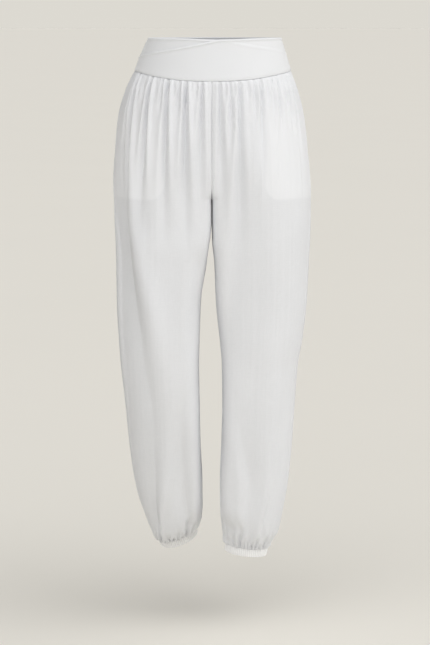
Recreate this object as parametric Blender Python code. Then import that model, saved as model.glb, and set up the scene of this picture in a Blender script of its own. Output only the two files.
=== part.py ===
"""Yoga pants in their worn, hollow form: a wide crossed waistband, gathered legs with pockets in the
side seams, and ribbed cuffs at the ankles.

Metres, +Z up, -Y towards the front, +X towards the wearer's left. The origin is the middle of the
waistband's ring, half way down its height. A drop is measured down from the waistband's top edge.
"""

import math

import bmesh
import bpy
import numpy as np

BAND_MIDDLE = 0.035  # drop of the origin
CLOTH = 0.0015  # wall of the gathered cloth
BAND_LAYER = 0.0012  # one layer of the waistband
BACK_BAND = 0.0024  # the waistband's back, which is two layers sewn flat
CUFF_WALL = 0.0020
BAG_CLOTH = 0.0010
SEAM_GAP = 0.0003  # between pieces that are sewn together
BAG_GAP = 0.0005  # between a pocket bag and the front that it hangs against
HALF_GAP = SEAM_GAP / 2

BAND_DROP_SIDE = 0.063  # the waistband's lower seam at the side, the centre front and the centre back
BAND_DROP_FRONT = 0.0805
BAND_DROP_BACK = 0.071
BAND_TOP_DIP = 0.003  # the top edge is this much lower where the wraps cross
LEVEL_DROP = 0.200  # below this the rows no longer follow the waistband's seam
CROSSING = 0.08  # the wraps cross this far towards the wearer's left, as a share of the half front
WRAP_FALL = 0.55  # share of the band's height that a wrap's top edge falls by, at the side seam
WRAP_BEND = 0.7
DIP_REACH = 0.35  # how far the dip at the crossing reaches, as a share of the half front
SEAM_BEND = 2.6  # how late the waistband's lower seam turns up towards the side
BAND_QUARTER = 0.19  # about the waistband's length from the centre to a side seam
BAND_LEVELS = (0.0, 0.5, 1.0)

FORK = 0.305  # drop of the crotch point
FORK_REACH = 0.030  # above the crotch point, where the panels' inner edges run in quickly
FORK_ANGLE = math.radians(50)  # where the centre front's grain line runs on down a leg
OUTER_ROUND = 2.1  # squareness of the outer side of every section

CUFF_HEIGHT = 0.0155
CUFF_RIBS = 64
RIB_RISE = 0.0004
CUFF_SWELL = 0.0008  # how far a cuff rounds out half way down
CUFF_INSIDE = 32  # sides of its plain inner face
CUFF_LEVELS = (0.0, 0.5, 1.0)

# One row for each level section of a half. inner, crown, outer: how far out from the middle plane its
# inner side, its front and back crowns and its outer side are. An inner side below zero is cut off at that
# plane. front, back: where its crowns are. corner: squareness of its inner side. out_turn, in_turn: how far
# the outseam and the inseam lie forward of its sides. roll, pitch: degrees that its outer side and its
# front drop.
FORM_COLUMNS = (
    "drop", "inner", "crown", "outer", "front", "back", "corner", "out_turn", "in_turn", "roll", "pitch",
)
FORMS = {
    "left": (
        (0.000, -0.132, 0.000, 0.132, -0.088, 0.088, 2.0, 0.000, 0.000, 0, 0),
        (0.035, -0.143, 0.000, 0.143, -0.096, 0.098, 2.0, 0.000, 0.000, 0, 0),
        (0.065, -0.152, 0.000, 0.152, -0.104, 0.108, 2.0, 0.000, 0.000, 0, 0),
        (0.100, -0.148, 0.008, 0.165, -0.113, 0.122, 2.0, 0.002, 0.000, 0, 0),
        (0.150, -0.133, 0.024, 0.176, -0.120, 0.137, 2.2, 0.006, 0.000, 0, 0),
        (0.200, -0.108, 0.044, 0.183, -0.124, 0.146, 2.7, 0.010, 0.000, 0, 0),
        (0.250, -0.072, 0.064, 0.189, -0.125, 0.146, 3.4, 0.019, 0.000, 0, 0),
        (0.275, -0.036, 0.075, 0.191, -0.124, 0.141, 4.2, 0.025, 0.000, 0, 0),
        (0.293, -0.009, 0.083, 0.192, -0.123, 0.137, 4.6, 0.028, 0.000, 0, 0),
        (0.305, 0.000, 0.088, 0.192, -0.122, 0.134, 4.6, 0.030, 0.000, 0, 0),
        (0.350, 0.001, 0.094, 0.192, -0.120, 0.124, 3.8, 0.036, 0.004, 0, 0),
        (0.390, 0.002, 0.096, 0.191, -0.118, 0.117, 3.2, 0.040, 0.008, 0, 0),
        (0.430, 0.005, 0.097, 0.189, -0.115, 0.111, 2.8, 0.042, 0.012, 0, 0),
        (0.510, 0.010, 0.097, 0.185, -0.109, 0.103, 2.4, 0.043, 0.020, 0, 0),
        (0.590, 0.017, 0.096, 0.176, -0.103, 0.099, 2.2, 0.043, 0.028, 0, 0),
        (0.630, 0.020, 0.094, 0.169, -0.099, 0.098, 2.2, 0.046, 0.032, 0, 0),
        (0.710, 0.021, 0.092, 0.163, -0.091, 0.098, 2.2, 0.042, 0.038, 0, 1),
        (0.790, 0.019, 0.089, 0.158, -0.081, 0.096, 2.2, 0.036, 0.042, 1, 2),
        (0.870, 0.016, 0.083, 0.150, -0.069, 0.090, 2.2, 0.028, 0.044, 3, 3),
        (0.930, 0.0165, 0.077, 0.139, -0.058, 0.084, 2.1, 0.020, 0.040, 4, 3),
        (0.965, 0.0195, 0.074, 0.131, -0.047, 0.075, 2.0, 0.014, 0.032, 6, 2),
        (0.985, 0.0235, 0.070, 0.1185, -0.036, 0.066, 2.0, 0.010, 0.026, 6.5, 0),
        (1.002, 0.0285, 0.069, 0.1095, -0.023, 0.055, 2.0, 0.008, 0.022, 6.5, -1),
    ),
    "right": (
        (0.000, -0.121, 0.000, 0.121, -0.088, 0.088, 2.0, 0.000, 0.000, 0, 0),
        (0.035, -0.137, 0.000, 0.137, -0.096, 0.098, 2.0, 0.000, 0.000, 0, 0),
        (0.065, -0.149, 0.000, 0.149, -0.104, 0.108, 2.0, 0.000, 0.000, 0, 0),
        (0.100, -0.148, 0.008, 0.166, -0.113, 0.122, 2.0, 0.002, 0.000, 0, 0),
        (0.150, -0.133, 0.024, 0.179, -0.120, 0.137, 2.2, 0.006, 0.000, 0, 0),
        (0.200, -0.108, 0.044, 0.185, -0.124, 0.146, 2.7, 0.010, 0.000, 0, 0),
        (0.250, -0.072, 0.064, 0.190, -0.125, 0.146, 3.4, 0.019, 0.000, 0, 0),
        (0.275, -0.036, 0.075, 0.191, -0.124, 0.141, 4.2, 0.025, 0.000, 0, 0),
        (0.293, -0.009, 0.083, 0.191, -0.123, 0.137, 4.6, 0.028, 0.000, 0, 0),
        (0.305, 0.000, 0.088, 0.190, -0.122, 0.134, 4.6, 0.030, 0.000, 0, 0),
        (0.350, 0.001, 0.095, 0.189, -0.124, 0.120, 3.8, 0.036, 0.004, 0, 0),
        (0.390, 0.007, 0.098, 0.187, -0.125, 0.111, 3.2, 0.040, 0.008, 0, 0),
        (0.430, 0.012, 0.100, 0.186, -0.124, 0.104, 2.8, 0.042, 0.012, 0, 0),
        (0.510, 0.022, 0.104, 0.185, -0.122, 0.094, 2.4, 0.043, 0.018, 0, 0),
        (0.590, 0.025, 0.103, 0.181, -0.117, 0.087, 2.2, 0.043, 0.024, 0, 0),
        (0.630, 0.026, 0.102, 0.178, -0.112, 0.087, 2.2, 0.046, 0.028, 0, 2),
        (0.712, 0.025, 0.098, 0.170, -0.096, 0.096, 2.2, 0.044, 0.032, 0, 6),
        (0.795, 0.024, 0.094, 0.163, -0.073, 0.112, 2.2, 0.042, 0.034, 1, 10),
        (0.881, 0.020, 0.086, 0.1505, -0.044, 0.128, 2.2, 0.036, 0.034, 5, 12),
        (0.930, 0.019, 0.078, 0.134, -0.024, 0.134, 2.1, 0.028, 0.030, 10, 12),
        (0.958, 0.020, 0.074, 0.124, -0.008, 0.134, 2.0, 0.020, 0.026, 13, 12),
        (0.976, 0.0265, 0.073, 0.116, 0.014, 0.131, 2.0, 0.014, 0.022, 15, 12),
        (0.9915, 0.0345, 0.0715, 0.1075, 0.049, 0.127, 2.0, 0.010, 0.018, 17, 12),
    ),
}

# One row for each gather of a front, from the centre out. across, end_across: how far out from the middle
# plane its trough is at the waistband and at its lower end. end: the drop of that end. depth, width: of the
# trough.
GATHER_COLUMNS = ("across", "end_across", "end", "depth", "width")
FRONT_GATHERS = {
    "left": (
        (0.0145, 0.0185, 0.280, 0.0034, 0.0055),
        (0.0240, 0.0250, 0.115, 0.0018, 0.0032),
        (0.0340, 0.0385, 0.190, 0.0026, 0.0041),
        (0.0420, 0.0430, 0.120, 0.0018, 0.0032),
        (0.0520, 0.0500, 0.350, 0.0055, 0.0064),
        (0.0670, 0.0690, 0.110, 0.0016, 0.0032),
        (0.0790, 0.0830, 0.150, 0.0021, 0.0041),
        (0.0920, 0.0965, 0.230, 0.0029, 0.0055),
        (0.1040, 0.1070, 0.115, 0.0016, 0.0032),
        (0.1140, 0.1190, 0.140, 0.0018, 0.0037),
        (0.1240, 0.1360, 0.180, 0.0023, 0.0046),
        (0.1340, 0.1480, 0.130, 0.0018, 0.0037),
        (0.1420, 0.1580, 0.170, 0.0023, 0.0041),
        (0.1485, 0.1730, 0.200, 0.0026, 0.0046),
    ),
    "right": (
        (0.0180, 0.0225, 0.270, 0.0031, 0.0051),
        (0.0290, 0.0310, 0.120, 0.0023, 0.0037),
        (0.0380, 0.0400, 0.110, 0.0018, 0.0032),
        (0.0480, 0.0500, 0.330, 0.0047, 0.0060),
        (0.0605, 0.0655, 0.150, 0.0026, 0.0041),
        (0.0710, 0.0730, 0.110, 0.0018, 0.0032),
        (0.0825, 0.0910, 0.330, 0.0052, 0.0064),
        (0.0925, 0.0990, 0.145, 0.0026, 0.0041),
        (0.1040, 0.1090, 0.110, 0.0018, 0.0032),
        (0.1145, 0.1360, 0.290, 0.0047, 0.0060),
        (0.1250, 0.1360, 0.120, 0.0018, 0.0032),
        (0.1330, 0.1460, 0.115, 0.0018, 0.0032),
        (0.1400, 0.1630, 0.350, 0.0060, 0.0074),
        (0.1460, 0.1760, 0.190, 0.0023, 0.0041),
    ),
}
# The long folds of each panel, from the centre out. One row for each section of a fold.
FOLD_COLUMNS = ("drop", "across", "depth", "width")
FOLDS = {
    "front_left": (
        (
            (0.200, 0.052, 0.0000, 0.008),
            (0.320, 0.050, 0.0035, 0.010),
            (0.430, 0.040, 0.0042, 0.011),
            (0.560, 0.034, 0.0035, 0.012),
            (0.680, 0.042, 0.0010, 0.012),
            (0.780, 0.062, 0.0020, 0.012),
            (0.870, 0.074, 0.0040, 0.011),
            (0.945, 0.068, 0.0030, 0.008),
            (0.985, 0.062, 0.0000, 0.006),
        ),
        (
            (0.560, 0.148, 0.0000, 0.010),
            (0.680, 0.143, 0.0030, 0.010),
            (0.800, 0.136, 0.0035, 0.010),
            (0.900, 0.120, 0.0035, 0.008),
            (0.960, 0.100, 0.0030, 0.006),
            (0.985, 0.096, 0.0000, 0.005),
        ),
    ),
    "front_right": (
        (
            (0.240, 0.052, 0.0000, 0.008),
            (0.380, 0.022, 0.0000, 0.006),
            (0.440, 0.025, 0.0030, 0.006),
            (0.540, 0.033, 0.0025, 0.007),
            (0.640, 0.045, 0.0000, 0.010),
            (0.720, 0.060, 0.0025, 0.012),
            (0.860, 0.053, 0.0050, 0.010),
            (0.940, 0.045, 0.0040, 0.006),
            (0.975, 0.042, 0.0000, 0.005),
        ),
        (
            (0.150, 0.166, 0.0000, 0.010),
            (0.250, 0.163, 0.0050, 0.014),
            (0.420, 0.160, 0.0055, 0.014),
            (0.560, 0.140, 0.0055, 0.014),
            (0.640, 0.122, 0.0035, 0.016),
            (0.740, 0.113, 0.0045, 0.014),
            (0.860, 0.117, 0.0050, 0.010),
            (0.940, 0.110, 0.0045, 0.007),
            (0.975, 0.100, 0.0000, 0.005),
        ),
    ),
    "back_left": (
        (
            (0.240, 0.058, 0.0000, 0.010),
            (0.340, 0.062, 0.0030, 0.012),
            (0.480, 0.058, 0.0040, 0.012),
            (0.620, 0.060, 0.0015, 0.014),
            (0.760, 0.058, 0.0035, 0.012),
            (0.880, 0.054, 0.0045, 0.010),
            (0.945, 0.056, 0.0035, 0.007),
            (0.985, 0.058, 0.0000, 0.006),
        ),
        (
            (0.400, 0.128, 0.0000, 0.012),
            (0.520, 0.126, 0.0035, 0.012),
            (0.660, 0.122, 0.0020, 0.014),
            (0.800, 0.116, 0.0040, 0.011),
            (0.900, 0.104, 0.0045, 0.009),
            (0.955, 0.094, 0.0030, 0.006),
            (0.985, 0.090, 0.0000, 0.005),
        ),
    ),
    "back_right": (
        (
            (0.260, 0.056, 0.0000, 0.010),
            (0.380, 0.060, 0.0035, 0.012),
            (0.520, 0.064, 0.0045, 0.012),
            (0.640, 0.068, 0.0030, 0.014),
            (0.760, 0.060, 0.0040, 0.012),
            (0.880, 0.052, 0.0045, 0.010),
            (0.935, 0.052, 0.0035, 0.007),
            (0.975, 0.054, 0.0000, 0.006),
        ),
        (
            (0.360, 0.134, 0.0000, 0.012),
            (0.480, 0.132, 0.0040, 0.012),
            (0.620, 0.126, 0.0030, 0.014),
            (0.760, 0.118, 0.0040, 0.012),
            (0.880, 0.106, 0.0045, 0.009),
            (0.940, 0.094, 0.0030, 0.006),
            (0.975, 0.090, 0.0000, 0.005),
        ),
    ),
}
BACK_GATHERS = 12  # on each half of the back
BACK_SPAN = (0.011, 0.145)
BACK_LENGTHS = (0.24, 0.05, 0.11, 0.04, 0.19, 0.06)  # below the waistband, in turn
BACK_SPREAD = 0.7  # share that a metre of a back gather's length moves its lower end out by
BACK_DEPTH = (0.0018, 0.015)  # of the shortest back gather, and what a metre of length adds
BACK_WIDTH = (0.0035, 0.014)
CUFF_GATHERS = 10  # on each panel
CUFF_LENGTHS = (0.045, 0.022, 0.032, 0.018, 0.060)  # above the cuff, in turn
CUFF_DEPTH = 0.0022
CUFF_WIDTH = 0.0040
GATHER_RISE = 0.4  # share of its depth that a gather has at the seam itself
GATHER_RUN_IN = 0.015  # it has its whole depth this far below the waistband
CUFF_RUN_IN = 0.008
GATHER_FADE = 1.15  # how late a gather dies away towards its lower end
GATHER_OPENING = 0.6  # share that a gather widens by towards its lower end
RIDGE_PLACE = 2.1  # the ridge beside a trough, in widths of the trough
RIDGE_WIDTH = 1.1
RIDGE_HEIGHT = 0.45  # share of the trough's depth
CALM = 0.006  # gathers die away this close to a seam that runs down a panel

MOUTH = (0.102, 0.222)  # drops of the pocket mouth's ends
MOUTH_LIFT = 0.0022
MOUTH_REACH = 0.022
BAG_EDGE = 0.44  # grain of a pocket bag's inner edge
BAG_CORNER = 0.030  # height of its round lower corner
BAG_CORNER_REACH = 0.14
BAG_FOOT = 0.303
BAG_SINK = 0.0085  # the bag hangs flat, this far inside the form, behind the deepest trough
BAG_COLUMNS = 9

GATHERED_ROWS = (0.000, 0.008, 0.020, 0.040, 0.068, 0.100)  # below the waistband's seam
LEVEL_ROWS = (0.220, 0.248, 0.270)
PLAIN_ROWS = (
    0.282, 0.291, 0.298, 0.303, 0.306, 0.313, 0.326, 0.350,
    0.390, 0.440, 0.500, 0.560, 0.620, 0.680, 0.740, 0.800, 0.850,
)
FORK_STEP = 0.06  # grain between the columns of the crotch extension
PLAIN_SPANS = (4, 6, 5)  # columns between the crotch extension, a plain row's two folds and the outseam
CUFF_ROWS = (0.100, 0.066, 0.042, 0.026, 0.014, 0.006, 0.000)  # above the cuff's seam

BAND_COLUMNS = 29

RING_STEPS = 241
ACROSS_STEPS = 161  # grains that are tried when a place across a panel is looked up
LEVEL_STEPS = (90, 80)  # drops at which widths are measured, down the whole panel and above the crotch
REACH = 0.003  # steps for measuring how the surface slopes, downwards and along the grain
GRAIN_REACH = 0.015
ABOVE_FORK = 2e-5  # the lowest section that still counts as above the crotch, for slopes
HAIR = 1e-6  # keeps a value on its own side of a limit


def through(knots, values, at):
    """A smooth curve through a table's column that never passes its own values."""
    rises = np.diff(values) / np.diff(knots)
    before, after = rises[:-1], rises[1:]
    same_way = before * after > 0
    shared = 2 * before * after / np.where(same_way, before + after, 1)
    slopes = np.concatenate([rises[:1], np.where(same_way, shared, 0), rises[-1:]])
    k = np.clip(np.searchsorted(knots, at, side="right") - 1, 0, len(knots) - 2)
    step = knots[k + 1] - knots[k]
    t = np.clip((at - knots[k]) / step, 0, 1)
    rise = t * t * (3 - 2 * t)
    start = t * (1 - t) ** 2 * step * slopes[k]
    end = t * t * (t - 1) * step * slopes[k + 1]
    return values[k] * (1 - rise) + values[k + 1] * rise + start + end


def ease(t):
    t = np.clip(t, 0, 1)
    return t * t * (3 - 2 * t)


def rising(run):
    """Share of its depth that a gather has, where run is 1 at the end of its run-in."""
    return GATHER_RISE + (1 - GATHER_RISE) * ease(run)


def form_at(side, drop):
    table = np.array(FORMS[side])
    knots = table[:, 0]
    return {name: through(knots, table[:, i], drop) for i, name in enumerate(FORM_COLUMNS) if i}


def last_drop(side):
    return FORMS[side][-1][0]


def squared(cosine, sine, wide, deep, power):
    """How far a squared ellipse is from its centre, in a direction."""
    return ((np.abs(cosine) / wide) ** power + (np.abs(sine) / deep) ** power) ** (-1 / power)


def rings(side, drop):
    """Each drop's section, from the centre front or inner side round the outside to the centre back.

    x, y and run, the length along it, have a row for each drop. out, fork_front and fork_back are the runs
    of its outer side and of the grain lines that start at the centre front and the centre back.
    """
    form = form_at(side, drop)
    closed = drop >= FORK
    inner = np.where(closed, np.maximum(form["inner"], HALF_GAP), np.minimum(form["inner"], -HAIR))
    wide = form["crown"] - inner
    middle = (form["front"] + form["back"]) / 2
    cut = np.clip(form["crown"] / wide, 0, 1)
    kept = (1 - cut ** form["corner"]) ** (1 / form["corner"])
    kept = np.where(closed, 0, kept)
    front_deep, back_deep = middle - form["front"], form["back"] - middle
    first = np.arctan2(front_deep * kept, form["crown"])
    last = 2 * math.pi - np.arctan2(back_deep * kept, form["crown"])
    share = np.linspace(0, 1, RING_STEPS)
    angle = first[:, None] + (last - first)[:, None] * share
    cosine, sine = np.cos(angle), np.sin(angle)
    across = np.where(cosine > 0, wide[:, None], (form["outer"] - form["crown"])[:, None])
    deep = np.where(sine > 0, front_deep[:, None], back_deep[:, None])
    power = np.where(cosine > 0, form["corner"][:, None], OUTER_ROUND)
    radius = squared(cosine, sine, across, deep, power)
    x = form["crown"][:, None] - radius * cosine
    y = middle[:, None] - radius * sine
    run = np.zeros_like(x)
    run[:, 1:] = np.cumsum(np.hypot(np.diff(x), np.diff(y)), axis=1)

    def run_at(wanted):
        return look_up(run, (wanted - first) / (last - first) * (RING_STEPS - 1))

    return {
        "x": x, "y": y, "run": run, "closed": closed, "form": form,
        "out": run_at(np.full_like(drop, math.pi)),
        "fork_front": run_at(np.maximum(first, FORK_ANGLE)),
        "fork_back": run_at(np.minimum(last, 2 * math.pi - FORK_ANGLE)),
    }


def look_up(rows, index):
    """The value in each row at a fractional index."""
    low = np.clip(index.astype(int), 0, rows.shape[1] - 2)
    part = np.clip(index - low, 0, 1)
    line = np.arange(len(rows))
    return rows[line, low] * (1 - part) + rows[line, low + 1] * part


def grain_lines(ring, panel):
    """(outseam's run, run of grain 0, run of the panel's inner edge)"""
    form, total = ring["form"], ring["run"][:, -1]
    seam = ring["out"] - form["out_turn"]
    turn = np.where(ring["closed"], form["in_turn"], 0)
    if panel == "front":
        return seam, ring["fork_front"], turn
    return seam, ring["fork_back"], total + turn


def smooth_form(side, panel, drop, grain):
    """Points of the bare form. Grain is 0 at the centre line and 1 at the outseam, all the way down.

    Above the crotch the form goes on past its edge as the mirrored half.
    """
    ring = rings(side, drop)
    seam, fork, _ = grain_lines(ring, panel)
    total = ring["run"][:, -1]
    wanted = seam + (1 - grain) * (fork - seam)
    past = ~ring["closed"] & ((wanted < 0) | (wanted > total))
    wanted = np.where(past & (wanted > total), 2 * total - wanted, np.where(past, -wanted, wanted))
    wanted = np.where(ring["closed"], np.mod(wanted, total), wanted)
    above = (ring["run"] <= wanted[:, None]).sum(axis=1) - 1
    low = np.clip(above, 0, RING_STEPS - 2)
    line = np.arange(len(drop))
    start, end = ring["run"][line, low], ring["run"][line, low + 1]
    index = low + (wanted - start) / np.maximum(end - start, HAIR)
    x, y = look_up(ring["x"], index), look_up(ring["y"], index)
    x = np.where(past, -x, x)
    form = ring["form"]
    middle_x = (np.maximum(form["inner"], 0) + form["outer"]) / 2
    middle_y = (form["front"] + form["back"]) / 2
    fall = (x - middle_x) * np.tan(np.radians(form["roll"]))
    lift = (y - middle_y) * np.tan(np.radians(form["pitch"]))
    return np.stack([x, y, BAND_MIDDLE - drop - fall + lift], axis=1)


def sloping(surface, panel, drop, grain, edge=None):
    """Outward normals of a surface, from points a little way off, inside its edge above the crotch."""
    near = grain - GRAIN_REACH
    if edge is not None:
        near = np.where(drop < FORK, np.maximum(near, edge), near)
    across = surface(drop, near + 2 * GRAIN_REACH) - surface(drop, near)
    upper = np.where(drop < FORK, np.minimum(drop, FORK - ABOVE_FORK), np.maximum(drop - REACH, FORK))
    lower = np.where(drop < FORK, np.minimum(drop + REACH, FORK - HAIR), drop + REACH)
    down = surface(lower, grain) - surface(upper, grain)
    normal = np.cross(down, across) * (1 if panel == "front" else -1)
    return normal / np.linalg.norm(normal, axis=1)[:, None]


def panel_width(side, panel, drop):
    """(width from the outseam to grain 0, grain of the inner edge) at each drop."""
    seam, fork, edge = grain_lines(rings(side, drop), panel)
    width = np.abs(fork - seam)
    return width, 1 - np.abs(edge - seam) / width


def grain_of(side, panel, drop, across):
    """The grain at which the panel is this far out from the middle plane."""
    found = []
    for one_drop, one_across in zip(drop, across):
        _, inner = panel_width(side, panel, np.array([one_drop]))
        grains = np.linspace(inner[0], 1, ACROSS_STEPS)
        x = smooth_form(side, panel, np.full_like(grains, one_drop), grains)[:, 0]
        found.append(np.interp(one_across, x, grains))
    return np.array(found)


def seam_drop(panel, grain):
    """Drop of the waistband's lower seam."""
    middle = BAND_DROP_FRONT if panel == "front" else BAND_DROP_BACK
    reach = np.sin(np.clip(grain, 0, 1) * math.pi / 2)
    return middle + (BAND_DROP_SIDE - middle) * reach**SEAM_BEND


class Panel:
    """One quarter of the legs' cloth: its shape, its gathers and the rows that it is built from."""

    def __init__(self, side, panel):
        self.side, self.panel = side, panel
        self.sign = 1 if side == "left" else -1
        self.cuff_drop = last_drop(side) - SEAM_GAP
        down = np.linspace(BAND_DROP_SIDE, last_drop(side), LEVEL_STEPS[0])
        to_fork = FORK - FORK_REACH * np.linspace(1, 0, LEVEL_STEPS[1]) ** 3
        self.levels = np.sort(np.concatenate([down, to_fork]))
        self.widths, self.inner = panel_width(side, panel, self.levels)
        self.gathers = [self.waist_gather(dict(zip(GATHER_COLUMNS, row))) for row in self.gather_rows()]
        self.folds = [self.long_fold(rows) for rows in FOLDS[f"{panel}_{side}"]]

    def gather_rows(self):
        if self.panel == "front":
            return FRONT_GATHERS[self.side]
        made = []
        for i, across in enumerate(np.linspace(*BACK_SPAN, BACK_GATHERS)):
            length = BACK_LENGTHS[i % len(BACK_LENGTHS)]
            end_across = across * (1 + BACK_SPREAD * length)
            depth = BACK_DEPTH[0] + BACK_DEPTH[1] * length
            width = BACK_WIDTH[0] + BACK_WIDTH[1] * length
            made.append((across, end_across, BAND_DROP_BACK + length, depth, width))
        return made

    def waist_gather(self, row):
        start = BAND_DROP_FRONT if self.panel == "front" else BAND_DROP_BACK
        drops = np.array([start, row["end"]])
        across = np.array([row["across"], row["end_across"]])
        grains = grain_of(self.side, self.panel, drops, across)
        return {"drops": drops, "grains": grains, "depth": row["depth"], "width": row["width"]}

    def long_fold(self, rows):
        fold = dict(zip(FOLD_COLUMNS, np.array(rows).T))
        fold["grain"] = grain_of(self.side, self.panel, fold["drop"], fold["across"])
        return fold

    def fold_lines(self, drop):
        return [through(f["drop"], f["grain"], np.clip(drop, *f["drop"][[0, -1]])) for f in self.folds]

    def inner_grain(self, drop):
        return np.interp(drop, self.levels, self.inner)

    def edges(self, drop):
        """Grains of a row's ends, each half a gap from its seam."""
        gap = HALF_GAP / np.interp(drop, self.levels, self.widths)
        return self.inner_grain(drop) + gap, 1 - gap

    def gather_lines(self, drop):
        """Grain of each waist gather at one drop."""
        return [np.interp(drop, g["drops"], g["grains"]) for g in self.gathers]

    def cuff_lines(self, drop):
        """Grain of each gather at the cuff."""
        inner = self.inner_grain(drop)
        return [inner + (1 - inner) * (i + 0.5) / CUFF_GATHERS for i in range(CUFF_GATHERS)]

    def fullness(self, drop, grain, x):
        """How far the gathers, folds and pocket mouth move the cloth out."""
        width = np.interp(drop, self.levels, self.widths)
        inner = self.inner_grain(drop)
        out = np.zeros_like(drop)
        for g, line in zip(self.gathers, self.gather_lines(drop)):
            start, end = g["drops"]
            along = (drop - start) / (end - start)
            strength = rising((drop - start) / GATHER_RUN_IN) * ease(GATHER_FADE * (1 - along))
            wide = g["width"] * (1 + GATHER_OPENING * np.clip(along, 0, 1))
            out += strength * trough((grain - line) * width, g["depth"], wide)
        for f, line in zip(self.folds, self.fold_lines(drop)):
            at = np.clip(drop, *f["drop"][[0, -1]])
            depth, wide = through(f["drop"], f["depth"], at), through(f["drop"], f["width"], at)
            out += trough((grain - line) * width, depth, wide)
        above = last_drop(self.side) - drop
        for i, line in enumerate(self.cuff_lines(drop)):
            length = CUFF_LENGTHS[(i + (self.panel == "back")) % len(CUFF_LENGTHS)]
            strength = rising(above / CUFF_RUN_IN) * ease(1 - above / length)
            out += strength * trough((grain - line) * width, CUFF_DEPTH, CUFF_WIDTH)
        to_edge = np.minimum(1 - grain, grain - inner) * width
        out *= (1 - np.exp(-((np.maximum(to_edge, 0) / CALM) ** 2))) * (1 - np.exp(-((x / CALM) ** 2)))
        if self.panel == "front":
            out += self.mouth_lift(drop, (1 - grain) * width)
        return out

    def mouth_lift(self, drop, from_seam):
        along = np.clip((drop - MOUTH[0]) / (MOUTH[1] - MOUTH[0]), 0, 1)
        return MOUTH_LIFT * np.sin(along * math.pi) ** 0.5 * ease(1 - np.abs(from_seam) / MOUTH_REACH)

    def bare(self, drop, grain):
        return smooth_form(self.side, self.panel, drop, grain)

    def surface(self, drop, grain):
        """Points of the cloth's outer face, on the wearer's left."""
        normal = sloping(self.bare, self.panel, drop, grain, self.inner_grain(drop))
        points = self.bare(drop, grain)
        return points + normal * self.fullness(drop, grain, points[:, 0])[:, None]

    def normals(self, drop, grain):
        return sloping(self.surface, self.panel, drop, grain, self.inner_grain(drop))

    def to_side(self, points):
        """Points kept clear of the middle plane and put on the panel's own side of it."""
        placed = points.copy()
        placed[:, 0] = np.maximum(placed[:, 0], HALF_GAP) * self.sign
        return placed

    def columns(self, lines, drop):
        """Grains across a row: its two edges, each gather's line and the ridges between."""
        first, last = self.edges(drop)
        stops = [first, *lines, last]
        between = [(a + b) / 2 for a, b in zip(stops, stops[1:])]
        return np.array(sorted(stops + between))

    def plain_columns(self, drop):
        first, last = self.edges(drop)
        folds = self.fold_lines(drop)
        base = min(0, folds[0] - FORK_STEP)
        steps = np.arange(base - FORK_STEP, first + FORK_STEP / 2, -FORK_STEP)[::-1]
        start = [first, *steps] if base - first > FORK_STEP / 2 else []
        stops = [base if start else first, *folds, last]
        spans = [np.linspace(a, b, n + 1)[:-1] for a, b, n in zip(stops, stops[1:], PLAIN_SPANS)]
        return np.concatenate([start, *spans, [last]])

    def leaning_row(self, below, grain):
        """Drops along a row that follows the waistband's seam and levels out further down."""
        seam = seam_drop(self.panel, grain) + SEAM_GAP
        return seam + below * (LEVEL_DROP - seam) / (LEVEL_DROP - BAND_DROP_FRONT)

    def row_plan(self):
        """(drops, grains) of every row, from the waistband down to the cuff."""
        rows = []
        for below in GATHERED_ROWS:
            nominal = BAND_DROP_FRONT + below
            grain = self.columns(self.gather_lines(nominal), nominal)
            rows.append((self.leaning_row(below, grain), grain))
        for level in LEVEL_ROWS:
            grain = self.columns(self.gather_lines(level), level)
            rows.append((np.full_like(grain, level), grain))
        for level in PLAIN_ROWS:
            grain = self.plain_columns(level)
            rows.append((np.full_like(grain, level), grain))
        for above in CUFF_ROWS:
            level = self.cuff_drop - above
            grain = self.columns(self.cuff_lines(level), level)
            rows.append((np.full_like(grain, level), grain))
        return rows

    def layer(self, rows, depth):
        """The rows' points, moved inwards by a depth."""
        made = []
        for drop, grain in rows:
            points = self.surface(drop, grain) - self.normals(drop, grain) * depth
            made.append((grain, self.to_side(points)))
        return made

    def bag_layer(self, depth):
        """Rows of points of a pocket bag, which is sewn in at the outseam and hangs flat inside."""
        rows = []
        for below in GATHERED_ROWS:
            grain = np.linspace(BAG_EDGE, self.edges(BAND_DROP_FRONT + below)[1], BAG_COLUMNS)
            rows.append((self.leaning_row(below, grain), grain))
        for level in (*LEVEL_ROWS, *PLAIN_ROWS):
            if level > BAG_FOOT:
                break
            rest = np.clip((BAG_FOOT - level) / BAG_CORNER, 0, 1)
            edge = BAG_EDGE + BAG_CORNER_REACH * (1 - math.sqrt(1 - (1 - rest) ** 2))
            grain = np.linspace(edge, self.edges(level)[1], BAG_COLUMNS)
            rows.append((np.full_like(grain, level), grain))
        made = []
        for drop, grain in rows:
            from_seam = (1 - grain) * np.interp(drop, self.levels, self.widths)
            sink = BAG_SINK * (1 - np.exp(-((from_seam / CALM) ** 2)))
            out = self.mouth_lift(drop, from_seam) - sink - depth
            normal = sloping(self.bare, self.panel, drop, grain, self.inner_grain(drop))
            made.append((grain, self.to_side(self.bare(drop, grain) + normal * out[:, None])))
        return made


def trough(across, depth, width):
    """A soft trough with a low ridge on each side."""
    ridge = np.exp(-(((np.abs(across) - RIDGE_PLACE * width) / (RIDGE_WIDTH * width)) ** 2))
    return depth * (RIDGE_HEIGHT * ridge - np.exp(-((across / width) ** 2)))


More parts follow.
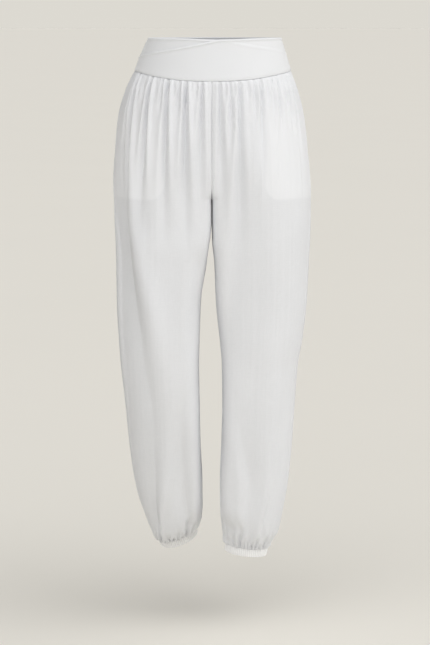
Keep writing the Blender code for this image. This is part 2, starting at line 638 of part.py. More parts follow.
def bridge(mesh, first, second):
    """Faces between two rows of (place, vertex): quads if they match, and otherwise a zip of triangles."""
    if len(first) == len(second):
        for a, b, c, d in zip(first, first[1:], second[1:], second):
            mesh.faces.new((a[1], b[1], c[1], d[1]))
        return
    i = j = 0
    while i < len(first) - 1 or j < len(second) - 1:
        ends = j == len(second) - 1
        if not ends and i < len(first) - 1:
            ends = first[i + 1][0] + first[i][0] <= second[j + 1][0] + second[j][0]
        if ends:
            mesh.faces.new((first[i][1], first[i + 1][1], second[j][1]))
            i += 1
        else:
            mesh.faces.new((first[i][1], second[j + 1][1], second[j][1]))
            j += 1


def wall(name, outer, inner, material, collection):
    """A closed wall between an outer and an inner face, each given as rows of (places, points)."""
    mesh = bmesh.new()

    def add(rows):
        return [[(place, mesh.verts.new(p)) for place, p in zip(*row)] for row in rows]

    outside, inside = add(outer), add(inner)
    for face in (outside, inside):
        for first, second in zip(face, face[1:]):
            bridge(mesh, first, second)
    for end in (0, -1):
        bridge(mesh, outside[end], inside[end])
        edge_out = [(0, row[end][1]) for row in outside]
        edge_in = [(0, row[end][1]) for row in inside]
        bridge(mesh, edge_out, edge_in)
    bmesh.ops.recalc_face_normals(mesh, faces=mesh.faces)
    data = bpy.data.meshes.new(name)
    mesh.to_mesh(data)
    mesh.free()
    data.shade_smooth()
    data.set_sharp_from_angle(angle=math.radians(50))
    data.materials.append(material)
    piece = bpy.data.objects.new(name, data)
    collection.objects.link(piece)
    return piece


def material(name, colour, roughness):
    made = bpy.data.materials.new(name)
    made.use_nodes = True
    shader = made.node_tree.nodes["Principled BSDF"]
    shader.inputs["Base Color"].default_value = (*colour, 1)
    shader.inputs["Roughness"].default_value = roughness
    shader.inputs["Metallic"].default_value = 0
    return made


def leg_panel(side, panel, cloth, collection):
    quarter = Panel(side, panel)
    rows = quarter.row_plan()
    return wall(f"{panel}_{side}", quarter.layer(rows, 0), quarter.layer(rows, CLOTH), cloth, collection)


def pocket_bag(side, cloth, collection):
    front = Panel(side, "front")
    near = CLOTH + BAG_GAP
    outer, inner = front.bag_layer(near), front.bag_layer(near + BAG_CLOTH)
    return wall(f"pocket_bag_{side}", outer, inner, cloth, collection)


def band_points(panel, places, levels, out):
    """Points of the waistband. A place runs from -1 at the wearer's right side seam to 1 at the left one."""
    made = np.empty((len(places), 3))
    for side, sign in (("right", -1), ("left", 1)):
        mine = places >= 0 if sign > 0 else places < 0
        if not mine.any():
            continue
        grain = np.abs(places[mine])

        def bare(drop, at, side=side):
            return smooth_form(side, panel, drop, at)

        bottom = seam_drop(panel, grain)
        top = band_top(panel, places[mine])
        drop = top + (bottom - top) * levels[mine]
        normal = sloping(bare, panel, drop, grain)
        points = bare(drop, grain) + normal * out
        points[:, 0] *= sign
        made[mine] = points
    return made


def band_top(panel, places):
    """Drop of the top edge, which dips where the wraps cross."""
    if panel == "back":
        return np.zeros_like(places)
    return BAND_TOP_DIP * np.exp(-(((places - CROSSING) / DIP_REACH) ** 2))


def wrap_top(places, sign):
    """Share of the band's height that lies above a wrap's edge, which falls away from the crossing."""
    past = np.clip((places - CROSSING) * sign / (1 - CROSSING * sign), 0, 1)
    return WRAP_FALL * past**WRAP_BEND


def band_piece(name, panel, out, thickness, edge, cloth, collection):
    """A waistband piece from side seam to side seam, whose top edge lies at edge(places)."""
    side_gap = HALF_GAP / BAND_QUARTER
    places = np.linspace(-1 + side_gap, 1 - side_gap, BAND_COLUMNS)
    top = edge(places)
    faces = []
    for depth in (out, out - thickness):
        rows = [band_points(panel, places, top + (1 - top) * level, depth) for level in BAND_LEVELS]
        faces.append([(places, points) for points in rows])
    return wall(name, faces[0], faces[1], cloth, collection)


def waistband(cloth, collection):
    over = BAND_LAYER + SEAM_GAP
    band_piece("band_back", "back", over, BACK_BAND, np.zeros_like, cloth, collection)
    band_piece(
        "band_front_under", "front", 0, BAND_LAYER, lambda places: wrap_top(places, 1), cloth, collection
    )
    band_piece(
        "band_front_over", "front", over, BAND_LAYER, lambda places: wrap_top(places, -1), cloth, collection
    )


def cuff(side, cloth, collection):
    """A ribbed ring below the leg's lower seam, square to the leg, closed by a seam on the inner side."""
    sign = 1 if side == "left" else -1
    drop = last_drop(side)
    form = {name: float(value) for name, value in form_at(side, np.array(drop)).items()}
    roll, pitch = math.radians(form["roll"]), math.radians(form["pitch"])
    centre = np.array([(form["inner"] + form["outer"]) / 2, (form["front"] + form["back"]) / 2])
    wide, deep = (form["outer"] - form["inner"]) / 2, (form["back"] - form["front"]) / 2
    down = np.array([-math.tan(roll), math.tan(pitch), -1.0])
    down /= np.linalg.norm(down)

    def ring(count, out, along):
        gap = HALF_GAP / wide
        turn = np.linspace(gap, 2 * math.pi - gap, count)
        ribs = np.where(np.arange(count) % 2 == 0, 0, RIB_RISE) if count > CUFF_RIBS else 0
        swell = CUFF_SWELL * math.sin(math.pi * along) - CUFF_SWELL * along
        more = out + ribs + swell
        x = -(wide + more) * np.cos(turn)
        y = -(deep + more) * np.sin(turn)
        z = -x * math.tan(roll) + y * math.tan(pitch)
        points = np.stack([centre[0] + x, centre[1] + y, BAND_MIDDLE - drop + z], axis=1)
        points += down * CUFF_HEIGHT * along
        points[:, 0] *= sign
        return turn / (2 * math.pi), points

    outer = [ring(2 * CUFF_RIBS + 1, 0, along) for along in CUFF_LEVELS]
    inner = [ring(CUFF_INSIDE + 1, -CUFF_WALL, along) for along in CUFF_LEVELS]
    return wall(f"cuff_{side}", outer, inner, cloth, collection)


def main():
    for old in list(bpy.data.objects):
        bpy.data.objects.remove(old)
    collection = bpy.data.collections.new("yoga_pants")
    bpy.context.scene.collection.children.link(collection)
    gathered = material("gathered_cloth", (0.86, 0.86, 0.87), 0.85)
    band = material("band_jersey", (0.88, 0.88, 0.88), 0.75)
    rib = material("cuff_rib", (0.87, 0.87, 0.86), 0.85)
    lining = material("pocket_cloth", (0.90, 0.90, 0.90), 0.85)
    waistband(band, collection)
    for side in ("left", "right"):
        leg_panel(side, "front", gathered, collection)
        leg_panel(side, "back", gathered, collection)
        pocket_bag(side, lining, collection)
        cuff(side, rib, collection)


main()
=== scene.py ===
"""Yoga pants with a crossed waistband, gathered legs and ribbed cuffs, worn form, as a Blender add-on.

Metres, +Z up, -Y towards the front, +X towards the wearer's left. A drop is measured down from the
waistband's top edge. Grain runs across a panel, from 0 at its centre line to 1 at the outseam.
"""

import math

import bmesh
import bpy
import numpy as np
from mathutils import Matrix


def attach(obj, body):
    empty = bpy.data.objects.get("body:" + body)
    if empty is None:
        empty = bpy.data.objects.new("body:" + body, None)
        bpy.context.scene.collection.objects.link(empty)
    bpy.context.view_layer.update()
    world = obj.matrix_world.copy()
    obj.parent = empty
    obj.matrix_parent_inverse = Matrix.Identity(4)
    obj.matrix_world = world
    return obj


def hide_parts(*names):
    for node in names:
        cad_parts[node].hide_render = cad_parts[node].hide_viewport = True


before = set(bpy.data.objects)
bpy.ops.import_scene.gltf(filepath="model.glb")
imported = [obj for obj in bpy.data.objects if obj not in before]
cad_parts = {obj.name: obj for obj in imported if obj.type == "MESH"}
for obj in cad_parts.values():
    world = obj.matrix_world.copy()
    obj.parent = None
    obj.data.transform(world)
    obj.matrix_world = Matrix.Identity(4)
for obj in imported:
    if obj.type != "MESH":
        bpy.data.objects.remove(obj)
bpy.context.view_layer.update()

bl_info = {
    "name": "Yoga Pants",
    "version": (1, 0, 0),
    "blender": (4, 5, 0),
    "location": "3D View > Sidebar > Pants",
    "description": "Builds loose yoga pants with a crossed waistband and ribbed cuffs",
    "category": "Object",
}

BODY = "root"
SIDES = (("left", 1), ("right", -1))

# Sizes that the solids share

BAND_MIDDLE = 0.035  # drop of the origin
BAND_LAYER = 0.0012
BAND_OVER = 0.0015  # how far out the layer that lies over stands
CUFF_WALL = 0.0020
BAG_NEAR = 0.0020  # from the front's outer face to the pocket bag's
HALF_GAP = 0.00006  # from the middle plane to each half's cloth

BAND_DROP_SIDE = 0.063
BAND_DROP_FRONT = 0.0805
BAND_DROP_BACK = 0.071
BAND_TOP_DIP = 0.003
DIP_REACH = 0.35
SEAM_BEND = 2.6
LEVEL_DROP = 0.200
CROSSING = 0.08
WRAP_FALLS = {-1: 0.585, 1: 0.48}  # share of the band's height that the over and under wraps' edges fall by

FORK = 0.305
FORK_REACH = 0.030
FORK_ANGLE = math.radians(50)
OUTER_ROUND = 2.1
SQUARENESS = 2.0  # how much squarer the cloth hangs in front of the crotch than the leg's own section
LEG_SQUARENESS = 1.5  # the same from there down to SQUARE_END
SQUARE_DROP = 0.330
SQUARE_REACH = 0.060
SQUARE_END = 0.960

CUFF_HEIGHT = 0.0155
CUFF_SWELL = 0.0008

# One row for each level section of a half. inner, crown, outer: how far out from the middle plane its
# inner side, its front and back crowns and its outer side are. An inner side below zero is cut off at that
# plane. front, back: where its crowns are. corner: squareness of its inner side. out_turn, in_turn: how far
# the outseam and the inseam lie forward of its sides. roll, pitch: degrees that its outer side and its
# front drop.
FORM_COLUMNS = (
    "drop", "inner", "crown", "outer", "front", "back", "corner", "out_turn", "in_turn", "roll", "pitch",
)
FORMS = {
    "left": (
        (0.000, -0.132, 0.000, 0.132, -0.088, 0.088, 2.0, 0.000, 0.000, 0, 0),
        (0.035, -0.143, 0.000, 0.143, -0.096, 0.098, 2.0, 0.000, 0.000, 0, 0),
        (0.065, -0.152, 0.000, 0.152, -0.104, 0.108, 2.0, 0.000, 0.000, 0, 0),
        (0.100, -0.148, 0.008, 0.165, -0.113, 0.122, 2.0, 0.002, 0.000, 0, 0),
        (0.150, -0.133, 0.024, 0.176, -0.120, 0.137, 2.2, 0.006, 0.000, 0, 0),
        (0.200, -0.108, 0.044, 0.183, -0.124, 0.146, 2.7, 0.010, 0.000, 0, 0),
        (0.250, -0.072, 0.064, 0.189, -0.125, 0.146, 3.4, 0.019, 0.000, 0, 0),
        (0.275, -0.036, 0.075, 0.191, -0.1240, 0.141, 4.2, 0.025, 0.000, 0, 0),
        (0.293, -0.009, 0.083, 0.192, -0.1232, 0.137, 4.6, 0.028, 0.000, 0, 0),
        (0.305, 0.000, 0.088, 0.192, -0.1226, 0.134, 4.6, 0.030, 0.000, 0, 0),
        (0.350, 0.0004, 0.094, 0.192, -0.1203, 0.124, 3.8, 0.036, 0.004, 0, 0),
        (0.390, 0.0010, 0.096, 0.191, -0.118, 0.117, 3.2, 0.040, 0.008, 0, 0),
        (0.430, 0.005, 0.097, 0.189, -0.115, 0.111, 2.8, 0.042, 0.012, 0, 0),
        (0.510, 0.010, 0.097, 0.185, -0.109, 0.103, 2.4, 0.043, 0.020, 0, 0),
        (0.590, 0.017, 0.096, 0.176, -0.103, 0.099, 2.2, 0.043, 0.028, 0, 0),
        (0.630, 0.020, 0.094, 0.169, -0.099, 0.098, 2.2, 0.046, 0.032, 0, 0),
        (0.710, 0.021, 0.092, 0.163, -0.091, 0.098, 2.2, 0.042, 0.038, 0, 1),
        (0.790, 0.019, 0.089, 0.158, -0.081, 0.096, 2.2, 0.036, 0.042, 1, 2),
        (0.870, 0.016, 0.083, 0.150, -0.069, 0.090, 2.2, 0.028, 0.044, 3, 3),
        (0.930, 0.0165, 0.077, 0.139, -0.058, 0.084, 2.1, 0.020, 0.040, 4, 3),
        (0.965, 0.0195, 0.074, 0.131, -0.047, 0.075, 2.0, 0.014, 0.032, 6, 2),
        (0.985, 0.0235, 0.070, 0.1185, -0.036, 0.066, 2.0, 0.010, 0.026, 6.5, 0),
        (1.002, 0.0285, 0.069, 0.1095, -0.023, 0.055, 2.0, 0.008, 0.022, 6.5, -1),
    ),
    "right": (
        (0.000, -0.121, 0.000, 0.121, -0.088, 0.088, 2.0, 0.000, 0.000, 0, 0),
        (0.035, -0.137, 0.000, 0.137, -0.096, 0.098, 2.0, 0.000, 0.000, 0, 0),
        (0.065, -0.149, 0.000, 0.149, -0.104, 0.108, 2.0, 0.000, 0.000, 0, 0),
        (0.100, -0.148, 0.008, 0.166, -0.113, 0.122, 2.0, 0.002, 0.000, 0, 0),
        (0.150, -0.133, 0.024, 0.179, -0.120, 0.137, 2.2, 0.006, 0.000, 0, 0),
        (0.200, -0.108, 0.044, 0.185, -0.124, 0.146, 2.7, 0.010, 0.000, 0, 0),
        (0.250, -0.072, 0.064, 0.190, -0.125, 0.146, 3.4, 0.019, 0.000, 0, 0),
        (0.275, -0.036, 0.075, 0.191, -0.1243, 0.141, 4.2, 0.025, 0.000, 0, 0),
        (0.293, -0.009, 0.083, 0.191, -0.1239, 0.137, 4.6, 0.028, 0.000, 0, 0),
        (0.305, 0.000, 0.088, 0.190, -0.1238, 0.134, 4.6, 0.030, 0.000, 0, 0),
        (0.350, 0.0003, 0.095, 0.189, -0.124, 0.120, 3.8, 0.036, 0.004, 0, 0),
        (0.390, 0.0050, 0.098, 0.187, -0.125, 0.111, 3.2, 0.040, 0.008, 0, 0),
        (0.430, 0.012, 0.100, 0.186, -0.124, 0.104, 2.8, 0.042, 0.012, 0, 0),
        (0.510, 0.022, 0.104, 0.185, -0.122, 0.094, 2.4, 0.043, 0.018, 0, 0),
        (0.590, 0.025, 0.103, 0.181, -0.117, 0.087, 2.2, 0.043, 0.024, 0, 0),
        (0.630, 0.026, 0.102, 0.178, -0.112, 0.087, 2.2, 0.046, 0.028, 0, 2),
        (0.712, 0.025, 0.098, 0.170, -0.096, 0.096, 2.2, 0.044, 0.032, 0, 6),
        (0.795, 0.024, 0.094, 0.163, -0.073, 0.112, 2.2, 0.042, 0.034, 1, 10),
        (0.881, 0.020, 0.086, 0.1505, -0.044, 0.128, 2.2, 0.036, 0.034, 5, 12),
        (0.930, 0.019, 0.078, 0.134, -0.024, 0.134, 2.1, 0.028, 0.030, 10, 12),
        (0.958, 0.020, 0.074, 0.124, -0.008, 0.134, 2.0, 0.020, 0.026, 13, 12),
        (0.976, 0.0265, 0.073, 0.116, 0.014, 0.131, 2.0, 0.014, 0.022, 15, 12),
        (0.9915, 0.0345, 0.0715, 0.1075, 0.049, 0.127, 2.0, 0.010, 0.018, 17, 12),
    ),
}

# One row for each gather of a front, from the centre out. across, end_across: how far out from the middle
# plane its trough is at the waistband and at its lower end. end: the drop of that end. depth, width: of the
# trough.
GATHER_COLUMNS = ("across", "end_across", "end", "depth", "width")
FRONT_GATHERS = {
    "left": (
        (0.0145, 0.0185, 0.280, 0.0034, 0.0055),
        (0.0240, 0.0250, 0.115, 0.0018, 0.0032),
        (0.0340, 0.0385, 0.190, 0.0026, 0.0041),
        (0.0420, 0.0430, 0.120, 0.0018, 0.0032),
        (0.0520, 0.0500, 0.350, 0.0038, 0.0064),
        (0.0670, 0.0690, 0.110, 0.0016, 0.0032),
        (0.0790, 0.0830, 0.150, 0.0021, 0.0041),
        (0.0920, 0.0965, 0.230, 0.0029, 0.0055),
        (0.1040, 0.1070, 0.115, 0.0016, 0.0032),
        (0.1140, 0.1190, 0.140, 0.0018, 0.0037),
        (0.1240, 0.1360, 0.180, 0.0023, 0.0046),
        (0.1340, 0.1480, 0.130, 0.0018, 0.0037),
        (0.1420, 0.1580, 0.170, 0.0023, 0.0041),
        (0.1485, 0.1730, 0.200, 0.0026, 0.0046),
    ),
    "right": (
        (0.0180, 0.0225, 0.270, 0.0031, 0.0051),
        (0.0290, 0.0310, 0.120, 0.0023, 0.0037),
        (0.0380, 0.0400, 0.110, 0.0018, 0.0032),
        (0.0480, 0.0500, 0.330, 0.0047, 0.0060),
        (0.0605, 0.0655, 0.150, 0.0026, 0.0041),
        (0.0710, 0.0730, 0.110, 0.0018, 0.0032),
        (0.0825, 0.0910, 0.330, 0.0042, 0.0064),
        (0.0925, 0.0990, 0.145, 0.0026, 0.0041),
        (0.1040, 0.1090, 0.110, 0.0018, 0.0032),
        (0.1145, 0.1360, 0.290, 0.0047, 0.0060),
        (0.1250, 0.1360, 0.120, 0.0018, 0.0032),
        (0.1330, 0.1460, 0.115, 0.0018, 0.0032),
        (0.1400, 0.1630, 0.300, 0.0050, 0.0070),
        (0.1460, 0.1760, 0.190, 0.0023, 0.0041),
    ),
}

# The long folds of each panel, from the centre out. One row for each section of a fold.
FOLD_COLUMNS = ("drop", "across", "depth", "width")
FOLDS = {
    "front_left": (
        (
            (0.200, 0.052, 0.0000, 0.008),
            (0.320, 0.050, 0.0035, 0.010),
            (0.430, 0.040, 0.0042, 0.011),
            (0.560, 0.034, 0.0035, 0.012),
            (0.680, 0.042, 0.0010, 0.012),
            (0.780, 0.062, 0.0020, 0.012),
            (0.870, 0.074, 0.0040, 0.011),
            (0.945, 0.068, 0.0030, 0.008),
            (0.985, 0.062, 0.0000, 0.006),
        ),
        (
            (0.560, 0.140, 0.0000, 0.012),
            (0.680, 0.135, 0.0016, 0.012),
            (0.800, 0.126, 0.0022, 0.011),
            (0.900, 0.112, 0.0030, 0.008),
            (0.960, 0.098, 0.0030, 0.006),
            (0.985, 0.096, 0.0000, 0.005),
        ),
    ),
    "front_right": (
        (
            (0.240, 0.052, 0.0000, 0.008),
            (0.380, 0.022, 0.0000, 0.006),
            (0.440, 0.025, 0.0030, 0.006),
            (0.540, 0.033, 0.0025, 0.007),
            (0.640, 0.045, 0.0000, 0.010),
            (0.720, 0.060, 0.0025, 0.012),
            (0.860, 0.053, 0.0050, 0.010),
            (0.940, 0.045, 0.0040, 0.006),
            (0.975, 0.042, 0.0000, 0.005),
        ),
        (
            (0.140, 0.160, 0.0000, 0.010),
            (0.240, 0.167, 0.0050, 0.013),
            (0.320, 0.170, 0.0070, 0.016),
            (0.420, 0.163, 0.0082, 0.021),
            (0.520, 0.150, 0.0082, 0.025),
            (0.620, 0.135, 0.0062, 0.026),
            (0.740, 0.115, 0.0045, 0.020),
            (0.860, 0.113, 0.0045, 0.012),
            (0.940, 0.108, 0.0045, 0.007),
            (0.975, 0.100, 0.0000, 0.005),
        ),
    ),
    "back_left": (
        (
            (0.240, 0.058, 0.0000, 0.010),
            (0.340, 0.062, 0.0030, 0.012),
            (0.480, 0.058, 0.0040, 0.012),
            (0.620, 0.060, 0.0015, 0.014),
            (0.760, 0.058, 0.0035, 0.012),
            (0.880, 0.054, 0.0045, 0.010),
            (0.945, 0.056, 0.0035, 0.007),
            (0.985, 0.058, 0.0000, 0.006),
        ),
        (
            (0.400, 0.128, 0.0000, 0.012),
            (0.520, 0.126, 0.0035, 0.012),
            (0.660, 0.122, 0.0020, 0.014),
            (0.800, 0.116, 0.0040, 0.011),
            (0.900, 0.104, 0.0045, 0.009),
            (0.955, 0.094, 0.0030, 0.006),
            (0.985, 0.090, 0.0000, 0.005),
        ),
    ),
    "back_right": (
        (
            (0.260, 0.056, 0.0000, 0.010),
            (0.380, 0.060, 0.0035, 0.012),
            (0.520, 0.064, 0.0045, 0.012),
            (0.640, 0.068, 0.0030, 0.014),
            (0.760, 0.060, 0.0040, 0.012),
            (0.880, 0.052, 0.0045, 0.010),
            (0.935, 0.052, 0.0035, 0.007),
            (0.975, 0.054, 0.0000, 0.006),
        ),
        (
            (0.360, 0.134, 0.0000, 0.012),
            (0.480, 0.132, 0.0040, 0.012),
            (0.620, 0.126, 0.0030, 0.014),
            (0.760, 0.118, 0.0040, 0.012),
            (0.880, 0.106, 0.0045, 0.009),
            (0.940, 0.094, 0.0030, 0.006),
            (0.975, 0.090, 0.0000, 0.005),
        ),
    ),
}

# The back's gathers lie evenly across its span, with these lengths in turn. depth and width: of a gather
# without length, and what each metre of its length adds.
BACK_GATHERS = 12
BACK_SPAN = (0.011, 0.145)
BACK_LENGTHS = (0.24, 0.05, 0.11, 0.04, 0.19, 0.06)
BACK_SPREAD = 0.7
BACK_DEPTH = (0.0018, 0.015)
BACK_WIDTH = (0.0035, 0.014)

# The gathers' shape under the waistband

GATHER_MORE = 2.35  # how much deeper they are than their tables say
GATHER_RISE = 0.15  # share of its depth that a gather has at the seam
GATHER_RUN_IN = 0.010
GATHER_NARROW = 0.5  # share of its width that it has at the seam, and how much that grows down to its end
GATHER_OPENING = 1.2
GATHER_FADE = 1.2
GATHER_LONGER = 1.35  # how much further down than its table's end a gather fades out
FULL_RUN = 0.12  # a gather shorter than this is shallower
RIDGE_PLACE = 2.1  # of the ridges beside a trough, in widths of the trough
RIDGE_WIDTH = 1.1
RIDGE_HEIGHT = 0.50  # in depths of the trough
OUTER_RIDGE = 0.25
FOLD_MORE = {"left": 1.1, "right": 1.4}  # how much deeper the long folds are than their tables say
FOLD_SPREAD = 2.0  # how much slower a fold comes back out on its outer side
OUTER_SPREAD = 2.6  # the same for the right front's outer fold
GOLDEN = 0.6180339  # these two scatter what lies unevenly
SALT_STEP = 0.37
FAN = 0.45  # how much the cloth's lines spread with its width
CALM = 0.006  # nearer than this to a seam the cloth lies flat
PUFF = 0.0008  # how far the cloth swells out under the waistband, how soon and how far down
PUFF_REACH = 0.003
PUFF_END = 0.030
SEAM_SINK = 0.0013  # how far in, and how far down, the groove under the waistband goes
PINCHES = 30
PINCH_SPAN = 0.215
PINCH_JITTER = 0.7
PINCH_LENGTH = 0.028
PINCH_DEPTH = 0.0007
PINCH_LEAST = 0.4
PINCH_WIDTH = 0.0013
PINCH_LEAN = 0.06
PINCH_RUN_IN = 0.006
RIPPLES = (  # pitch across, length down, height and phase of each set of waves
    (0.0089, 0.25, 0.00014, 0.4),
    (0.0127, 0.40, 0.00026, 2.1),
    (0.0198, 0.45, 0.00050, 4.0),
)
RIPPLE_BEND = 0.6
RIPPLE_SPREAD = 4.3
RIPPLE_LEAST = 0.2
RIPPLE_END = 0.40
RIPPLE_FADE = 0.22

# The gathers above a cuff

CUFF_GATHERS = 15
CUFF_LENGTHS = (0.060, 0.028, 0.042, 0.022, 0.078, 0.032)
CUFF_DEPTH = 0.0066
CUFF_SCATTER = 0.8  # how much their depths differ
CUFF_JITTER = 0.7
CUFF_WIDTH = 0.0022
CUFF_OPENING = 0.045  # a gather is twice as wide this far above the cuff
CUFF_RUN_IN = 0.004
CUFF_PUFF = 0.0018
CUFF_PUFF_END = 0.020

# Seams, pocket mouths and pocket bags

WELT_PLACE = 0.0042
WELT_WIDTH = 0.0016
SEAM_WELT = 0.0007
SEAM_GROOVE = 0.0017
GROOVE_WIDTH = 0.0017
SEAM_FADE = 0.004
MOUTH = (0.102, 0.222)
MOUTH_LIFT = 0.0022
MOUTH_REACH = 0.022
BAG_EDGE = 0.44
BAG_CORNER = 0.030
BAG_CORNER_REACH = 0.14
BAG_FOOT = 0.303
BAG_SINK = 0.0085
PATCH_EDGE = {"left": 0.41, "right": 0.37}
PATCH_SOFT = 0.008
PATCH_TOP = 0.085
PATCH_FADE = 0.110

# How finely the cloth is laid out

RING_STEPS = 481
RING_SPACE = 2.0  # keeps each section's lengths apart from the next one's in one long list
CHUNK = 1600
LEVEL_STEPS = (90, 80)
REACH = 0.003
GRAIN_REACH = 0.010
CLEAR_GRAIN = 0.03  # further out than this the form runs smoothly past the crotch
ABOVE_FORK = 2e-5
HAIR = 1e-6
PANEL_COLUMNS = 150
PANEL_ACROSS = 0.20  # a panel's usual width, from its grain 0 to its outseam
EDGE_STEPS = (0.0006, 0.0012, 0.0019, 0.0027, 0.0037, 0.0050)  # columns beside a seam, from its line
FORK_STEP = 0.012
LEAN_STEP = 0.0026
NEAR_BAND = (0, 0.0005, 0.0011, 0.0018, 0.0027, 0.0038)
LEVEL_STEP = 0.0032
CUFF_STEP = 0.0016
CUFF_ZONE = 0.070
FORK_RUN = 0.012  # rows are closer together this far above the crotch
FORK_LEVELS = 12
FORK_LEAST = 0.22
PAST_FORK = 5  # rows in the first half run below the crotch
TUCK = ((-0.0045, 0.0024), (-0.0022, 0.0020), (-0.0006, 0.0006))  # rows behind the waistband: below, inwards
CUFF_TUCK = ((0.0006, 0.0010), (0.0022, 0.0028), (0.0045, 0.0032))  # rows inside the cuff: further, inwards
PANEL_THINNING = 3  # the inner face has one row and column for this many of the outer face
BAG_ROWS = (36, 36)
BAG_COLUMNS = 49
SHARP = math.radians(60)

# The waistband and the cuffs

BAND_ACROSS = 0.19
BAND_END = 0.0005
BAND_COLUMNS = 181
BAND_ROWS = 56
HEM_TURNS = 9
BEAD_PLACE = 0.0028
BEAD_WIDTH = 0.0020
UNDER_SHOWN = 0.3  # share of the under wrap's bead that shows through the over wrap
SINK_REACH = 0.2  # share of the half front over which the over wrap sinks, past the crossing
SINK_EDGE = 0.003
SIDE_DIP = 0.0015  # widths of the dips at the side seams and at the lower seam
LOWER_DIP = 0.0022
CUFF_ROWS = 14
RIB_COLUMNS = 8
RIB_PAINTED_SHADE = 0.88  # painted shade: how much darker a rib's valleys are coloured
CUFF_UNEVEN = 0.0004
CUFF_WAVES = ((3, 1), (7, 2), (11, 0))  # waves round a cuff, and where each starts

# Sewn lines: from which drop to which, and how far from the seam

LINE_STEP = 0.0015
CENTRE_LINE = (0.086, 0.298)
CENTRE_STITCH = 0.0024
MOUTH_STITCH = 0.006
BAND_STITCH = 0.0035
THREAD_OUT = 0.0001
THREAD_SIDES = 6
THREAD_RINGS = 5

# The camera, the floor and the sky

SENSOR = 36
IMAGE_ROWS = 645
FOCAL_ROWS = 2167
CAMERA_PLACE = (0.006, -4.2, 0.065)
CAMERA_TILT = 7.9  # degrees down
FLOOR_RADIUS = 400
FLOOR_SIDES = 96
FLOOR_CLOUD = 1.2
FLOOR_TONE = 0.985  # how dark its darkest part is
SKY_REACH = (-0.5, 0.5)  # where the sky goes from dim to bright, as the cosine from its bright side

NEAR_SEAM = np.array(EDGE_STEPS) / PANEL_ACROSS
BETWEEN_SEAMS = np.linspace(NEAR_SEAM[-1], 1 - NEAR_SEAM[-1], PANEL_COLUMNS)[1:-1]
FIXED_GRAIN = np.concatenate([[0], NEAR_SEAM, BETWEEN_SEAMS, 1 - NEAR_SEAM[::-1], [1]])


def ease(t):
    t = np.clip(t, 0, 1)
    return t * t * (3 - 2 * t)


def through(knots, values, at):
    """A smooth curve through a table's column that never passes its own values."""
    rises = np.diff(values) / np.diff(knots)
    before, after = rises[:-1], rises[1:]
    same_way = before * after > 0
    shared = 2 * before * after / np.where(same_way, before + after, 1)
    slopes = np.concatenate([rises[:1], np.where(same_way, shared, 0), rises[-1:]])
    k = np.clip(np.searchsorted(knots, at, side="right") - 1, 0, len(knots) - 2)
    step = knots[k + 1] - knots[k]
    t = np.clip((at - knots[k]) / step, 0, 1)
    rise = t * t * (3 - 2 * t)
    start = t * (1 - t) ** 2 * step * slopes[k]
    end = t * t * (t - 1) * step * slopes[k + 1]
    return values[k] * (1 - rise) + values[k + 1] * rise + start + end


def rising(run):
    """Share of its depth that a gather has, where run is 1 at the end of its run-in."""
    return GATHER_RISE + (1 - GATHER_RISE) * ease(run)


def trough(across, depth, width, spread=1):
    """A soft trough with a low ridge on each side. Its outer side, with the lower ridge, may spread out."""
    across = across / np.where(across > 0, spread, 1)
    ridge = np.exp(-(((np.abs(across) - RIDGE_PLACE * width) / (RIDGE_WIDTH * width)) ** 2))
    height = np.where(across > 0, OUTER_RIDGE / spread, RIDGE_HEIGHT)
    return depth * (height * ridge - np.exp(-((across / width) ** 2)))


def swelling(past, height, reach, end):
    """How far cloth swells out beyond a seam that holds it in."""
    past = np.maximum(past, 0)
    return height * (1 - np.exp(-past / reach)) * np.exp(-past / end)


def scatter(i, salt):
    """An uneven number from 0 to 1 for each item."""
    return (GOLDEN * (i + 1) * (salt + 1) + SALT_STEP * salt * salt) % 1


def seam_relief(away):
    """A seam's groove with a low welt on each side."""
    welt = np.exp(-(((away - WELT_PLACE) / WELT_WIDTH) ** 2))
    return SEAM_WELT * welt - SEAM_GROOVE * np.exp(-((away / GROOVE_WIDTH) ** 2))


def form_at(side, drop):
    table = np.array(FORMS[side])
    knots = table[:, 0]
    return {name: through(knots, table[:, i], drop) for i, name in enumerate(FORM_COLUMNS) if i}


def last_drop(side):
    return FORMS[side][-1][0]


def look_up(rows, index):
    """The value in each row at a fractional index."""
    low = np.clip(index.astype(int), 0, rows.shape[1] - 2)
    part = np.clip(index - low, 0, 1)
    line = np.arange(len(rows))
    return rows[line, low] * (1 - part) + rows[line, low + 1] * part


